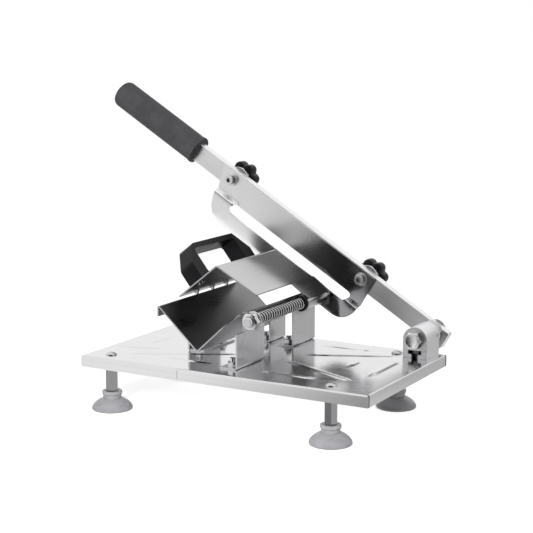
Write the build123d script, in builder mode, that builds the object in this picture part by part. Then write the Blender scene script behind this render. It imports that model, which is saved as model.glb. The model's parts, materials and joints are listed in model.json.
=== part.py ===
"""Hand-operated meat slicer: a sheet-steel base on four suction feet, a V-shaped trough
with a hinged, spring-fed pusher hood, and a long lever arm that carries the blade.

Everything is in millimetres, +Z up, the front edge of the base towards -Y and the arm's
pivot at the right-hand end (+X). The origin is on the floor, under the middle of the
whole machine's box.
"""
import math
import os

from build123d import *

os.makedirs("parts", exist_ok=True)

# Fits, gaps and cuts
running_fit = 0.05
press_gap = 0.02
screw_clearance = 0.2
side_play = 0.1
overrun = 1

# Base pan: one folded sheet, open underneath
plate_length = 345
plate_depth = 200
plate_sheet = 1.2
plate_flange = 12.7
plate_bend = 1.6
seam_width = 0.6
slit_width = 0.8
slit_from_left = 124
bead_width = 5
bead_height = 0.8
bead_shoulder = 0.5
bead_margin = 2

# Feet
foot_from_left = 27
foot_from_right = 50
foot_from_front = 19
foot_from_back = 21
post_length = 38.8
post_flats = 12.7
collar_height = 8
collar_diameter = 22
collar_edge = 1.2
cup_height = 13
cup_diameter = 45
cup_neck_diameter = 20
cup_rim = 2
cup_lip_width = 3
cup_hollow = 3.5
foot_screw_diameter = 6
foot_screw_head = 12.5
foot_screw_head_height = 2.6
foot_screw_crown = 1.6
foot_screw_length = 14
slot_width = 1.2
slot_depth = 1

# Hinge block, an extruded bar with a T-slot along its underside
block_width = 28
block_length = 35
block_from_right = 9
block_pivot_height = 20.5
tee_stem = 7
tee_stem_height = 4.5
tee_cross = 15
tee_cross_height = 4.3
block_bolt_diameter = 6
block_bolt_flats = 10
block_bolt_head = 4
block_nut_height = 5
block_bolt_tail = 2
block_bolt_inset = 9

# Pivot
pivot_diameter = 10
pivot_flats = 17
pivot_head = 6.4
pivot_washer = 1.5
pivot_washer_diameter = 21
spacer_length = 10.3
spacer_diameter = 28
spacer_edge = 1
back_washer = 2.5
back_washer_diameter = 26
pivot_nut_height = 8.4
pivot_nut_collar = 2
pivot_tail = 2.5
bush_wall = 2
nut_edge = 0.8

# Lever arm, a flat bar
rest_angle = 31.3
arm_width = 22
arm_thickness = 10
arm_butt = 18.5
arm_corner = 3
arm_edge = 0.6
tang_width = 18
tang_from = 366
tang_end = 468

# Grip
grip_from = 356
grip_end = 484
grip_diameter = 33
grip_offset = 1
grip_round = 6
grip_lip = 0.6
grip_lip_length = 4

# Blade, one pressed sheet with a long slot between its two strips
blade_sheet = 2
blade_step = 7
blade_right = 85
blade_left = 316
blade_top = 10
blade_left_slant = 16
blade_drop_left = 50.3
blade_drop_right = 54
blade_corner = 24
blade_top_corner = 2
edge_heel = 42
slot_right = 101
slot_left = 281
slot_top = 21.5
slot_bottom = 32
left_step_from = 19.5
left_step_to = 22.5
right_step_from = 27
right_step_to = 31
bevel_width = 5
edge_thickness = 0.4
blade_screw_left = 298
blade_screw_right = 100
blade_screw_diameter = 6
blade_screw_head = 11
blade_screw_head_height = 6
blade_socket_flats = 5
blade_socket_depth = 3.5
blade_washer = 1.5
blade_washer_diameter = 15

# Star knobs behind the arm
knob_collar_diameter = 28
knob_collar_length = 7.5
knob_lobes = 7
knob_core_radius = 15
knob_lobe_radius = 5
knob_lobe_circle_radius = 14.6
knob_height = 15
knob_edge = 1.6
insert_diameter = 11
insert_depth = 10

# Trough: a V of folded sheet with a lip along each rim and an ear at each end of the right rim
trough_from_left = 137
trough_height = 17
trough_slope = 42.5
trough_left_run = 49.5
trough_right_run = 48
trough_from_front = 19
trough_from_back = 1.5
trough_sheet = 1.5
trough_bend = 1.8
left_lip = 13.5
right_lip = 20
rim_round = 19
ear_reach = 18
ear_height = 20
ear_corner = 5
front_ear_from_front = 34.5
rear_ear_from_back = 3.5

# Stands
stand_sheet = 2
stand_bend = 3
stand_foot = 21
front_stand_from = 23
front_stand_length = 58
front_stand_height = 38.4
front_tab_from = 17
tab_lap = 13
left_tab_lap = 7
rear_stand_length = 52
rear_stand_from_back = 1.5
rear_stand_corner = 8
inner_stand_from_left = 150
inner_stand_from_back = 10
inner_stand_length = 36
left_stand_from = 77
left_stand_length = 66
stand_bolt_diameter = 6
stand_bolt_flats = 10
stand_bolt_head = 4
stand_nut_height = 5
stand_bolt_tail = 4
stand_bolt_inset = 9

# Feed rod and spring
rod_diameter = 9
rod_thread_diameter = 10
rod_from_rim = 12
rod_below_rim = 8
rivet_diameter = 13
rivet_height = 1.2
rod_nut_flats = 17
rod_nut_height = 8
rod_washer = 2
rod_washer_diameter = 20
rod_nut_from_tip = 4
wire_diameter = 1.3
spring_radius = 5.6
spring_length = 100
spring_turns = 21
spring_end_bend = 2

# Slide
ring_length = 5
ring_diameter = 18
ring_edge = 1
sleeve_wall = 2
sleeve_stop_gap = 0.3

# Pusher hood
hood_apex_from_left = 134.5
hood_apex_height = 101.3
hood_left_slope = 38.3
hood_right_slope = 29
hood_left_run = 48.5
hood_right_run = 49.5
hood_from_back = 10
hood_length = 127
hood_sheet = 1.5
hood_bend = 4
tab_clearance = 0.2
tab_past_tube = 3
tab_past_hood = 3
tab_corner = 9
tube_short = 6
tooth_shares = (0.24, 0.5, 0.74)
tooth_width = 3
tooth_length = 8
tooth_height = 4

# Pusher handle
handle_from_apex = 23
handle_thickness = 20
handle_height = 41
handle_shoulder = 18.5
handle_front_slant = 19
handle_back_slant = 18
handle_from_back = 4
handle_round = 9
handle_edge = 2
window_front = 18
window_back = 20
window_floor = 3
window_top = 6.5
window_corner = 4
handle_screw_diameter = 4
handle_screw_head = 8
handle_screw_head_height = 2.4
handle_screw_length = 13
handle_screw_inset = 9

# Levels and places worked out from the sizes above
top_z = cup_height + collar_height + post_length + plate_sheet
under_z = top_z - plate_sheet
cos_rest = math.cos(math.radians(rest_angle))
sin_rest = math.sin(math.radians(rest_angle))
grip_radius = grip_diameter / 2
pivot_from_right = block_from_right + block_width / 2
grip_reach = (
    (grip_end - grip_round) * cos_rest
    + (grip_radius - grip_round - grip_offset) * sin_rest
    + grip_round
)
overall_length = pivot_from_right + grip_reach
plate_right = overall_length / 2
plate_left = plate_right - plate_length
front_overhang = cup_diameter / 2 - foot_from_front
back_overhang = spacer_length + side_play + arm_thickness + knob_collar_length + side_play + knob_height
plate_front = front_overhang - (front_overhang + plate_depth + back_overhang) / 2
plate_back = plate_front + plate_depth
plate_middle = (plate_left + plate_right) / 2

pivot_x = plate_right - pivot_from_right
pivot_z = top_z + block_pivot_height
block_front = plate_back - block_length
arm_front = plate_back + spacer_length + side_play
arm_back = arm_front + arm_thickness
toward_grip = Vector(-cos_rest, 0, sin_rest)

trough_x = plate_left + trough_from_left
trough_z = top_z + trough_height
trough_front = plate_front + trough_from_front
trough_back = plate_back - trough_from_back
trough_tan = math.tan(math.radians(trough_slope))
left_rim_x = trough_x - trough_left_run
right_rim_x = trough_x + trough_right_run
left_rim_z = trough_z + trough_left_run * trough_tan
right_rim_z = trough_z + trough_right_run * trough_tan
front_ear_y = plate_front + front_ear_from_front
rear_ear_y = plate_back - rear_ear_from_back - trough_sheet

rod_x = right_rim_x + rod_from_rim
rod_z = right_rim_z - rod_below_rim
rod_radius = rod_diameter / 2
rod_tip = front_ear_y - rod_washer - rod_nut_height - rod_nut_from_tip
spring_front = front_ear_y + trough_sheet
ring_front = spring_front + spring_length
sleeve_front = ring_front + ring_length
sleeve_back = rear_ear_y - sleeve_stop_gap
sleeve_radius = rod_radius + running_fit + sleeve_wall
tube_inner = sleeve_radius + running_fit
tube_outer = tube_inner + hood_sheet

hood_x = plate_left + hood_apex_from_left
hood_z = top_z + hood_apex_height
hood_back = plate_back - hood_from_back
hood_front = hood_back - hood_length
handle_length = hood_length - handle_from_back
hood_left_tan = math.tan(math.radians(hood_left_slope))
hood_left_x = hood_x - hood_left_run
hood_left_z = hood_z - hood_left_run * hood_left_tan
hood_right_x = hood_x + hood_right_run
hood_right_z = hood_z - hood_right_run * math.tan(math.radians(hood_right_slope))
tab_front = sleeve_front + tab_clearance
tab_back = hood_back + tab_past_hood


def front_plane(y):
    """Plane across the machine at depth y: local x to the right, y up, normal to the front."""
    return Plane(origin=(0, y, 0), x_dir=(1, 0, 0), z_dir=(0, -1, 0))


def front_at(x, y, z):
    """The same upright plane, its origin at a point."""
    return Plane(origin=(x, y, z), x_dir=(1, 0, 0), z_dir=(0, -1, 0))


def level_at(x, y, z):
    """Level plane whose normal points up."""
    return Plane(origin=(x, y, z), x_dir=(1, 0, 0), z_dir=(0, 0, 1))


def arm_plane(y):
    """Plane on the arm at depth y: local x from the pivot to the grip, local y down the blade."""
    return Plane(origin=(pivot_x, y, pivot_z), x_dir=toward_grip, z_dir=(0, -1, 0))


def looking_down(x, y, z):
    """Plane at a point whose normal points to the floor."""
    return Plane(origin=(x, y, z), x_dir=(1, 0, 0), z_dir=(0, 0, -1))


def finish_piece(piece, name):
    """Label a finished piece and write it as its own file."""
    piece.part.label = name
    export_step(piece.part, "parts/" + name + ".step")


def rod_between(plane, radius, length):
    """Add a round bar that starts on a plane and runs along its normal."""
    with BuildSketch(plane) as section:
        Circle(radius)
    extrude(section.sketch, amount=length)


def washer_on(plane, outer, inner, thickness):
    """Add a flat ring that starts on a plane."""
    with BuildSketch(plane) as section:
        Circle(outer / 2)
        Circle(inner / 2, mode=Mode.SUBTRACT)
    extrude(section.sketch, amount=thickness)


def hex_on(plane, flats, height, hole=0):
    """Add a hexagonal head or nut on a plane, its free corners turned down to a circle."""
    corner = flats / math.sqrt(3)
    with BuildSketch(plane) as section:
        RegularPolygon(flats / 2, 6, major_radius=False)
        if hole:
            Circle(hole / 2, mode=Mode.SUBTRACT)
    extrude(section.sketch, amount=height)
    side_on = Plane(origin=plane.origin, x_dir=plane.x_dir, z_dir=-plane.y_dir)
    with BuildSketch(side_on) as trim:
        with BuildLine() as triangle:
            Polyline(
                (corner - nut_edge, height),
                (corner + overrun, height),
                (corner + overrun, height - nut_edge - overrun),
                close=True,
            )
        make_face(triangle.line.edges())
    revolve(trim.sketch, axis=Axis(plane.origin, plane.z_dir), mode=Mode.SUBTRACT)


def folded_strip(points, radius, sheet, side):
    """Add the section of a folded sheet to the open sketch: a filleted path made thick."""
    with BuildLine() as outline:
        FilletPolyline(*points, radius=radius)
        offset(amount=sheet, side=side)
    make_face(outline.line.edges())


# Base pan: the sheet with four flanges turned down, seams open at the corners, pressed beads
# on top, and round holes for the foot screws and the bolts
foot_places = [
    (plate_left + foot_from_left, plate_front + foot_from_front),
    (plate_right - foot_from_right, plate_front + foot_from_front),
    (plate_left + foot_from_left, plate_back - foot_from_back),
    (plate_right - foot_from_right, plate_back - foot_from_back),
]
bead_line_shares = [
    ((0.12, 0.16), (0.42, 0.44)),
    ((0.88, 0.22), (0.60, 0.44)),
    ((0.87, 0.82), (0.62, 0.62)),
    ((0.12, 0.84), (0.20, 0.76)),
    ((0.25, 0.19), (0.42, 0.19)),
    ((0.60, 0.18), (0.78, 0.17)),
    ((0.59, 0.86), (0.78, 0.87)),
    ((0.27, 0.86), (0.37, 0.86)),
    ((0.05, 0.30), (0.17, 0.34)),
    ((0.905, 0.36), (0.905, 0.72)),
    ((0.80, 0.48), (0.80, 0.64)),
    ((0.10, 0.44), (0.10, 0.66)),
]

front_stand_y = plate_front + front_stand_from
rear_stand_y = plate_back - rear_stand_from_back - rear_stand_length
inner_stand_y = plate_back - inner_stand_from_back - inner_stand_length
left_stand_y = plate_front + left_stand_from
right_wall_x = right_rim_x - trough_sheet
left_wall_x = left_rim_x + trough_sheet
inner_wall_x = plate_left + inner_stand_from_left
stand_feet = [
    (right_wall_x - stand_foot, right_wall_x, front_stand_y, front_stand_length),
    (right_wall_x - stand_foot, right_wall_x, rear_stand_y, rear_stand_length),
    (inner_wall_x - stand_foot, inner_wall_x, inner_stand_y, inner_stand_length),
    (left_wall_x, left_wall_x + stand_foot, left_stand_y, left_stand_length),
]
stand_bolt_places = [
    ((low_x + high_x) / 2, y)
    for low_x, high_x, low_y, length in stand_feet
    for y in (low_y + stand_bolt_inset, low_y + length - stand_bolt_inset)
]
block_bolt_places = [
    (pivot_x, block_front + block_bolt_inset),
    (pivot_x, plate_back - block_bolt_inset),
]

with BuildPart() as base_plate:
    with BuildSketch(Plane.XY.offset(top_z - plate_flange)):
        with Locations((plate_middle, plate_front + plate_depth / 2)):
            Rectangle(plate_length, plate_depth)
    extrude(amount=plate_flange)
    upper_rim = base_plate.faces().sort_by(Axis.Z)[-1].edges()
    fillet(upper_rim, radius=plate_bend)
    offset(amount=-plate_sheet, openings=base_plate.faces().sort_by(Axis.Z)[0])
    with BuildSketch(Plane.XY.offset(top_z)):
        for start, end in bead_line_shares:
            start_point = Vector(plate_left + start[0] * plate_length, plate_front + start[1] * plate_depth)
            end_point = Vector(plate_left + end[0] * plate_length, plate_front + end[1] * plate_depth)
            run = end_point - start_point
            centre = (start_point + end_point) * 0.5
            turn = math.degrees(math.atan2(run.Y, run.X))
            with Locations(Location((centre.X, centre.Y, 0), (0, 0, turn))):
                SlotCenterToCenter(run.length, bead_width)
    extrude(amount=bead_height)
    chamfer(base_plate.faces().sort_by(Axis.Z)[-1].edges(), length=bead_shoulder)
    with BuildSketch(Plane.XY.offset(top_z)):
        for low_x, high_x, low_y, length in stand_feet:
            with Locations(((low_x + high_x) / 2, low_y + length / 2)):
                Rectangle(stand_foot + 2 * bead_margin, length + 2 * bead_margin)
    extrude(amount=bead_height + overrun, mode=Mode.SUBTRACT)
    with BuildSketch(Plane.XY.offset(top_z - plate_flange - overrun)):
        for x in (plate_left + plate_sheet / 2, plate_right - plate_sheet / 2):
            for y in (plate_front + plate_sheet + seam_width / 2, plate_back - plate_sheet - seam_width / 2):
                with Locations((x, y)):
                    Rectangle(plate_sheet + overrun, seam_width)
        with Locations((plate_left + slit_from_left, plate_front + plate_sheet / 2)):
            Rectangle(slit_width, plate_sheet + overrun)
    extrude(amount=plate_flange + overrun - plate_bend, mode=Mode.SUBTRACT)
    with Locations(*[(x, y, top_z) for x, y in foot_places]):
        Hole(foot_screw_diameter / 2 + screw_clearance)
    with Locations(*[(x, y, top_z) for x, y in stand_bolt_places]):
        Hole(stand_bolt_diameter / 2 + screw_clearance)
    with Locations(*[(x, y, top_z) for x, y in block_bolt_places]):
        Hole(block_bolt_diameter / 2 + screw_clearance)
finish_piece(base_plate, "base_plate")

# Feet: a hexagonal post under the sheet, a plastic collar, and a soft suction cup; a slotted
# pan-head screw comes down through the sheet into each post
with BuildPart() as foot_posts:
    for x, y in foot_places:
        hex_on(looking_down(x, y, under_z), post_flats, post_length)
    with Locations(*[Location((x, y, under_z)) for x, y in foot_places]):
        Hole(foot_screw_diameter / 2 + press_gap, depth=foot_screw_length + overrun)
finish_piece(foot_posts, "foot_posts")

with BuildPart() as foot_collars:
    for x, y in foot_places:
        with BuildSketch(Plane.XY.offset(cup_height)):
            with Locations((x, y)):
                Circle(collar_diameter / 2)
        extrude(amount=collar_height)
    chamfer(foot_collars.faces().group_by(Axis.Z)[-1].edges(), length=collar_edge)
finish_piece(foot_collars, "foot_collars")

with BuildPart() as suction_cups:
    cup_radius = cup_diameter / 2
    neck_radius = cup_neck_diameter / 2
    for x, y in foot_places:
        with BuildSketch(Plane(origin=(x, y, 0), x_dir=(1, 0, 0), z_dir=(0, -1, 0))):
            with BuildLine():
                Line((0, cup_hollow), (0, cup_height))
                Line((0, cup_height), (neck_radius, cup_height))
                ThreePointArc(
                    (neck_radius, cup_height),
                    ((neck_radius + cup_radius) / 2 - cup_rim, (cup_height + cup_rim) / 2 - cup_rim),
                    (cup_radius, cup_rim),
                )
                Line((cup_radius, cup_rim), (cup_radius, 0))
                Line((cup_radius, 0), (cup_radius - cup_lip_width, 0))
                Line((cup_radius - cup_lip_width, 0), (0, cup_hollow))
            make_face()
        revolve(axis=Axis((x, y, 0), (0, 0, 1)))
finish_piece(suction_cups, "suction_cups")

with BuildPart() as foot_screws:
    for x, y in foot_places:
        rod_between(level_at(x, y, top_z), foot_screw_head / 2, foot_screw_head_height)
    crowns = foot_screws.faces().group_by(Axis.Z)[-1].edges()
    fillet(crowns, radius=foot_screw_crown)
    for x, y in foot_places:
        rod_between(looking_down(x, y, top_z), foot_screw_diameter / 2, foot_screw_length + plate_sheet)
    with BuildSketch(Plane.XY.offset(top_z + foot_screw_head_height - slot_depth)):
        for x, y in foot_places:
            with Locations((x, y)):
                Rectangle(foot_screw_head + overrun, slot_width)
    extrude(amount=slot_depth + overrun, mode=Mode.SUBTRACT)
finish_piece(foot_screws, "foot_screws")


# Hinge block: an arched bar standing at the right-hand end, a T-slot along its underside and
# a cross hole for the pivot bolt
block_arch = block_width / 2
with BuildPart() as hinge_block:
    with BuildSketch(front_plane(plate_back)):
        with Locations((pivot_x, top_z + block_pivot_height / 2)):
            Rectangle(block_width, block_pivot_height)
        with Locations((pivot_x, pivot_z)):
            Circle(block_arch)
            Circle(pivot_diameter / 2 + running_fit, mode=Mode.SUBTRACT)
        with Locations((pivot_x, top_z + tee_stem_height / 2)):
            Rectangle(tee_stem, tee_stem_height, mode=Mode.SUBTRACT)
        with Locations((pivot_x, top_z + tee_stem_height + tee_cross_height / 2)):
            Rectangle(tee_cross, tee_cross_height, mode=Mode.SUBTRACT)
    extrude(amount=block_length)
    ends = hinge_block.faces().filter_by(Axis.Y).group_by(Axis.Y)
    arch_edges = [
        edge
        for group in (ends[0], ends[-1])
        for edge in group.edges().filter_by(GeomType.CIRCLE)
        if edge.radius > pivot_diameter
    ]
    chamfer(arch_edges, length=nut_edge / 2)
finish_piece(hinge_block, "hinge_block")

with BuildPart() as block_bolts:
    for x, y in block_bolt_places:
        head_plane = level_at(x, y, top_z + tee_stem_height)
        hex_on(head_plane, block_bolt_flats, block_bolt_head)
        tail = tee_stem_height + plate_sheet + block_nut_height + block_bolt_tail
        rod_between(looking_down(x, y, top_z + tee_stem_height), block_bolt_diameter / 2, tail)
finish_piece(block_bolts, "block_bolts")

with BuildPart() as block_nuts:
    for x, y in block_bolt_places:
        hex_on(
            looking_down(x, y, under_z),
            block_bolt_flats,
            block_nut_height,
            hole=block_bolt_diameter + 2 * press_gap,
        )
finish_piece(block_nuts, "block_nuts")

# Pivot: a hex bolt from the front through the block, the spacer and the arm, held by a washer
# and a lock nut behind the arm
washer_back = arm_back + side_play + back_washer
pivot_end = washer_back + pivot_nut_height + pivot_tail
with BuildPart() as pivot_bolt:
    head_at = front_at(pivot_x, block_front - pivot_washer, pivot_z)
    hex_on(head_at, pivot_flats, pivot_head)
    end_at = front_at(pivot_x, pivot_end, pivot_z)
    rod_between(end_at, pivot_diameter / 2, pivot_end - block_front + pivot_washer)
    chamfer(pivot_bolt.faces().sort_by(Axis.Y)[-1].edges(), length=nut_edge)
finish_piece(pivot_bolt, "pivot_bolt")

with BuildPart() as pivot_washers:
    for y, outer, thickness in (
        (block_front, pivot_washer_diameter, pivot_washer),
        (washer_back, back_washer_diameter, back_washer),
    ):
        at = front_at(pivot_x, y, pivot_z)
        washer_on(at, outer, pivot_diameter + 2 * running_fit, thickness)
finish_piece(pivot_washers, "pivot_washers")

with BuildPart() as pivot_spacer:
    at = front_at(pivot_x, plate_back + spacer_length, pivot_z)
    washer_on(at, spacer_diameter, pivot_diameter + 2 * running_fit, spacer_length)
    outer_edges = pivot_spacer.edges().filter_by(GeomType.CIRCLE).filter_by(
        lambda edge: edge.radius > pivot_diameter
    )
    chamfer(outer_edges, length=spacer_edge)
finish_piece(pivot_spacer, "pivot_spacer")

with BuildPart() as pivot_nut:
    nut_back = Plane(origin=(pivot_x, washer_back, pivot_z), x_dir=(1, 0, 0), z_dir=(0, 1, 0))
    bore = pivot_diameter + 2 * press_gap
    hex_on(nut_back, pivot_flats, pivot_nut_height - pivot_nut_collar, hole=bore)
    collar_at = nut_back.offset(pivot_nut_height - pivot_nut_collar)
    washer_on(collar_at, pivot_flats - 2 * nut_edge, bore, pivot_nut_collar)
finish_piece(pivot_nut, "pivot_nut")

# Lever arm: a flat bar, square at the butt, with a narrower tang inside the grip
arm_half = arm_width / 2
tang_half = tang_width / 2
bush_outer = pivot_diameter / 2 + running_fit + bush_wall
with BuildPart() as blade_arm:
    with BuildSketch(arm_plane(arm_back)):
        with Locations(((tang_from - arm_butt) / 2, 0)):
            Rectangle(tang_from + arm_butt, arm_width)
        with Locations(((tang_from + tang_end) / 2, 0)):
            Rectangle(tang_end - tang_from, tang_width)
        Circle(bush_outer + press_gap, mode=Mode.SUBTRACT)
        with Locations((blade_screw_left, 0), (blade_screw_right, 0)):
            Circle(blade_screw_diameter / 2 + screw_clearance, mode=Mode.SUBTRACT)
    extrude(amount=arm_thickness)
    along = Axis(origin=(pivot_x, arm_back, pivot_z), direction=toward_grip)
    corners = blade_arm.edges().filter_by(Axis.Y).group_by(along)[0]
    fillet(corners, radius=arm_corner)
    long_edges = blade_arm.edges().filter_by(along).filter_by(lambda edge: edge.length > tang_end - tang_from)
    chamfer(long_edges, length=arm_edge)
finish_piece(blade_arm, "blade_arm")

with BuildPart() as arm_bush:
    washer_on(arm_plane(arm_back), 2 * bush_outer, pivot_diameter + 2 * running_fit, arm_thickness)
finish_piece(arm_bush, "arm_bush")

# Grip: a soft black sleeve pushed over the tang
grip_axis = Plane(
    origin=(
        pivot_x + grip_offset * sin_rest,
        (arm_front + arm_back) / 2,
        pivot_z + grip_offset * cos_rest,
    ),
    x_dir=toward_grip,
    z_dir=(0, -1, 0),
)
with BuildPart() as arm_grip:
    with BuildSketch(grip_axis):
        with BuildLine():
            Polyline(
                (grip_from, 0),
                (grip_from, grip_radius + grip_lip),
                (grip_from + grip_lip_length, grip_radius + grip_lip),
                (grip_from + grip_lip_length + grip_lip, grip_radius),
                (grip_end - grip_round, grip_radius),
            )
            RadiusArc(
                (grip_end - grip_round, grip_radius),
                (grip_end, grip_radius - grip_round),
                grip_round,
            )
            Polyline((grip_end, grip_radius - grip_round), (grip_end, 0), (grip_from, 0))
        make_face()
    revolve(axis=Axis(grip_axis.origin, toward_grip))
    pocket = arm_plane(arm_back + press_gap)
    with BuildSketch(pocket):
        with Locations(((grip_from + tang_from) / 2, 0)):
            Rectangle(tang_from - grip_from + 2 * press_gap, arm_width + 2 * press_gap)
        with Locations(((tang_from + tang_end) / 2, 0)):
            Rectangle(tang_end - tang_from + 2 * press_gap, tang_width + 2 * press_gap)
    extrude(amount=arm_thickness + 2 * press_gap, mode=Mode.SUBTRACT)
finish_piece(arm_grip, "arm_grip")

# Blade: one pressed sheet with a long slot. The upper strip lies on the arm; past both ends
# of the slot the sheet steps forward to the lower strip, whose edge is ground on its front
blade_bottom = blade_drop_right + overrun
blade_back_plane = arm_plane(arm_front)
slot_half = (slot_bottom - slot_top) / 2
slot_middle = (slot_bottom + slot_top) / 2
slot_right_centre = slot_right + slot_half
slot_left_centre = slot_left - slot_half
lower_front = arm_front - blade_step - blade_sheet
down_blade = Vector(-sin_rest, 0, -cos_rest)
lower_left = blade_left - blade_left_slant


def stepped_sheet(from_u, to_u, upper_to, lower_from):
    """Add a length of the blade's sheet whose section steps forward below the upper strip."""
    section_plane = Plane(
        origin=Vector(pivot_x, arm_front, pivot_z) + toward_grip * from_u,
        x_dir=down_blade,
        z_dir=toward_grip,
    )
    with BuildSketch(section_plane) as section:
        with BuildLine() as path:
            Polyline(
                (-blade_top - overrun, 0),
                (upper_to, 0),
                (lower_from, blade_step),
                (blade_bottom, blade_step),
            )
            offset(amount=blade_sheet, side=Side.LEFT)
        make_face(path.line.edges())
    extrude(section.sketch, amount=to_u - from_u)


def flat_strip(plane, low_v, high_v):
    """Add the flat sheet beside the slot, between two heights below the arm's middle line."""
    with BuildSketch(plane) as strip:
        with Locations(((slot_right_centre + slot_left_centre) / 2, (low_v + high_v) / 2)):
            Rectangle(slot_left_centre - slot_right_centre, high_v - low_v)
    extrude(strip.sketch, amount=blade_sheet)


with BuildPart() as slicing_blade:
    stepped_sheet(blade_right - overrun, slot_right_centre, right_step_from, right_step_to)
    flat_strip(blade_back_plane, -blade_top - overrun, slot_top)
    flat_strip(blade_back_plane.offset(blade_step), slot_bottom, blade_bottom)
    stepped_sheet(slot_left_centre, blade_left + overrun, left_step_from, left_step_to)
    with BuildSketch(blade_back_plane) as blank:
        with BuildLine():
            Polyline(
                (blade_right, -blade_top),
                (blade_left, -blade_top),
                (lower_left, blade_drop_left),
                (blade_right + edge_heel, blade_drop_right),
                (blade_right, blade_drop_right),
                close=True,
            )
        make_face()
        lower_corners = blank.vertices().sort_by(Axis.X)[:2].sort_by(Axis.Y)[-1:]
        lower_corners += blank.vertices().sort_by(Axis.X)[-2:].sort_by(Axis.Y)[-1:]
        fillet(lower_corners, radius=blade_corner)
        fillet(blank.vertices().sort_by(Axis.Y)[:2], radius=blade_top_corner)
        with Locations(((slot_right + slot_left) / 2, slot_middle)):
            SlotCenterToCenter(slot_left_centre - slot_right_centre, 2 * slot_half, mode=Mode.SUBTRACT)
        with Locations((blade_screw_left, 0), (blade_screw_right, 0)):
            Circle(blade_screw_diameter / 2 + screw_clearance, mode=Mode.SUBTRACT)
    extrude(amount=blade_step + blade_sheet, mode=Mode.INTERSECT)
    heel = Vector(pivot_x, lower_front, pivot_z) + toward_grip * (blade_right + edge_heel)
    heel += down_blade * blade_drop_right
    toe = Vector(pivot_x, lower_front, pivot_z) + toward_grip * lower_left + down_blade * blade_drop_left
    along_edge = (toe - heel).normalized()
    into_blade = Vector(0, -1, 0).cross(along_edge)
    grind = Plane(origin=heel - along_edge * edge_heel, x_dir=into_blade, z_dir=along_edge)
    bevel_depth = blade_sheet - edge_thickness
    with BuildSketch(grind):
        with BuildLine():
            Polyline(
                (bevel_width, 0),
                (-overrun, bevel_depth * (1 + overrun / bevel_width)),
                (-overrun, -overrun),
                (bevel_width, -overrun),
                close=True,
            )
        make_face()
    extrude(amount=(toe - heel).length + edge_heel, mode=Mode.SUBTRACT)
finish_piece(slicing_blade, "slicing_blade")

# Blade fasteners: socket-head screws from the front, each with a washer, run through the
# blade, the arm and a steel collar into a star knob behind the arm
blade_screws_u = (blade_screw_left, blade_screw_right)
washer_front = arm_front - blade_sheet - blade_washer
collar_back = arm_back + knob_collar_length
knob_front = collar_back + side_play


def facing_front(u, y):
    """Plane square to the arm's pins at distance u from the pivot, facing the front."""
    at = Vector(pivot_x, y, pivot_z) + toward_grip * u
    return Plane(origin=at, x_dir=toward_grip, z_dir=(0, -1, 0))


def facing_back(u, y):
    """The same plane, facing the back."""
    at = Vector(pivot_x, y, pivot_z) + toward_grip * u
    return Plane(origin=at, x_dir=toward_grip, z_dir=(0, 1, 0))


with BuildPart() as blade_washers:
    for u in blade_screws_u:
        at = facing_front(u, arm_front - blade_sheet)
        washer_on(at, blade_washer_diameter, blade_screw_diameter + 2 * screw_clearance, blade_washer)
finish_piece(blade_washers, "blade_washers")

with BuildPart() as blade_screws:
    for u in blade_screws_u:
        rod_between(facing_front(u, washer_front), blade_screw_head / 2, blade_screw_head_height)
    front_rims = blade_screws.faces().group_by(Axis.Y)[0].edges()
    chamfer(front_rims, length=nut_edge / 2)
    for u in blade_screws_u:
        shank_length = knob_front + insert_depth - overrun - washer_front
        rod_between(facing_back(u, washer_front), blade_screw_diameter / 2, shank_length)
        socket_at = facing_front(u, washer_front - blade_screw_head_height + blade_socket_depth)
        with BuildSketch(socket_at):
            RegularPolygon(blade_socket_flats / 2, 6, major_radius=False)
        extrude(amount=blade_socket_depth + overrun, mode=Mode.SUBTRACT)
finish_piece(blade_screws, "blade_screws")

with BuildPart() as knob_collars:
    for u in blade_screws_u:
        at = facing_back(u, arm_back)
        washer_on(at, knob_collar_diameter, blade_screw_diameter + 2 * screw_clearance, knob_collar_length)
finish_piece(knob_collars, "knob_collars")

for side, u in (("left", blade_screw_left), ("right", blade_screw_right)):
    with BuildPart() as star_knob:
        with BuildSketch(facing_back(u, knob_front)) as star:
            Circle(knob_core_radius)
            with PolarLocations(knob_lobe_circle_radius, knob_lobes):
                Circle(knob_lobe_radius)
            fillet(star.vertices(), radius=knob_edge)
        extrude(amount=knob_height)
        rims = star_knob.faces().filter_by(Axis.Y).edges()
        chamfer(rims, length=knob_edge)
        with BuildSketch(facing_back(u, knob_front)):
            Circle(insert_diameter / 2 + press_gap)
        extrude(amount=insert_depth, mode=Mode.SUBTRACT)
    finish_piece(star_knob, "star_knob_" + side)
    with BuildPart() as knob_insert:
        at = facing_back(u, knob_front)
        washer_on(at, insert_diameter, blade_screw_diameter + 2 * running_fit, insert_depth)
    finish_piece(knob_insert, "knob_insert_" + side)

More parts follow.
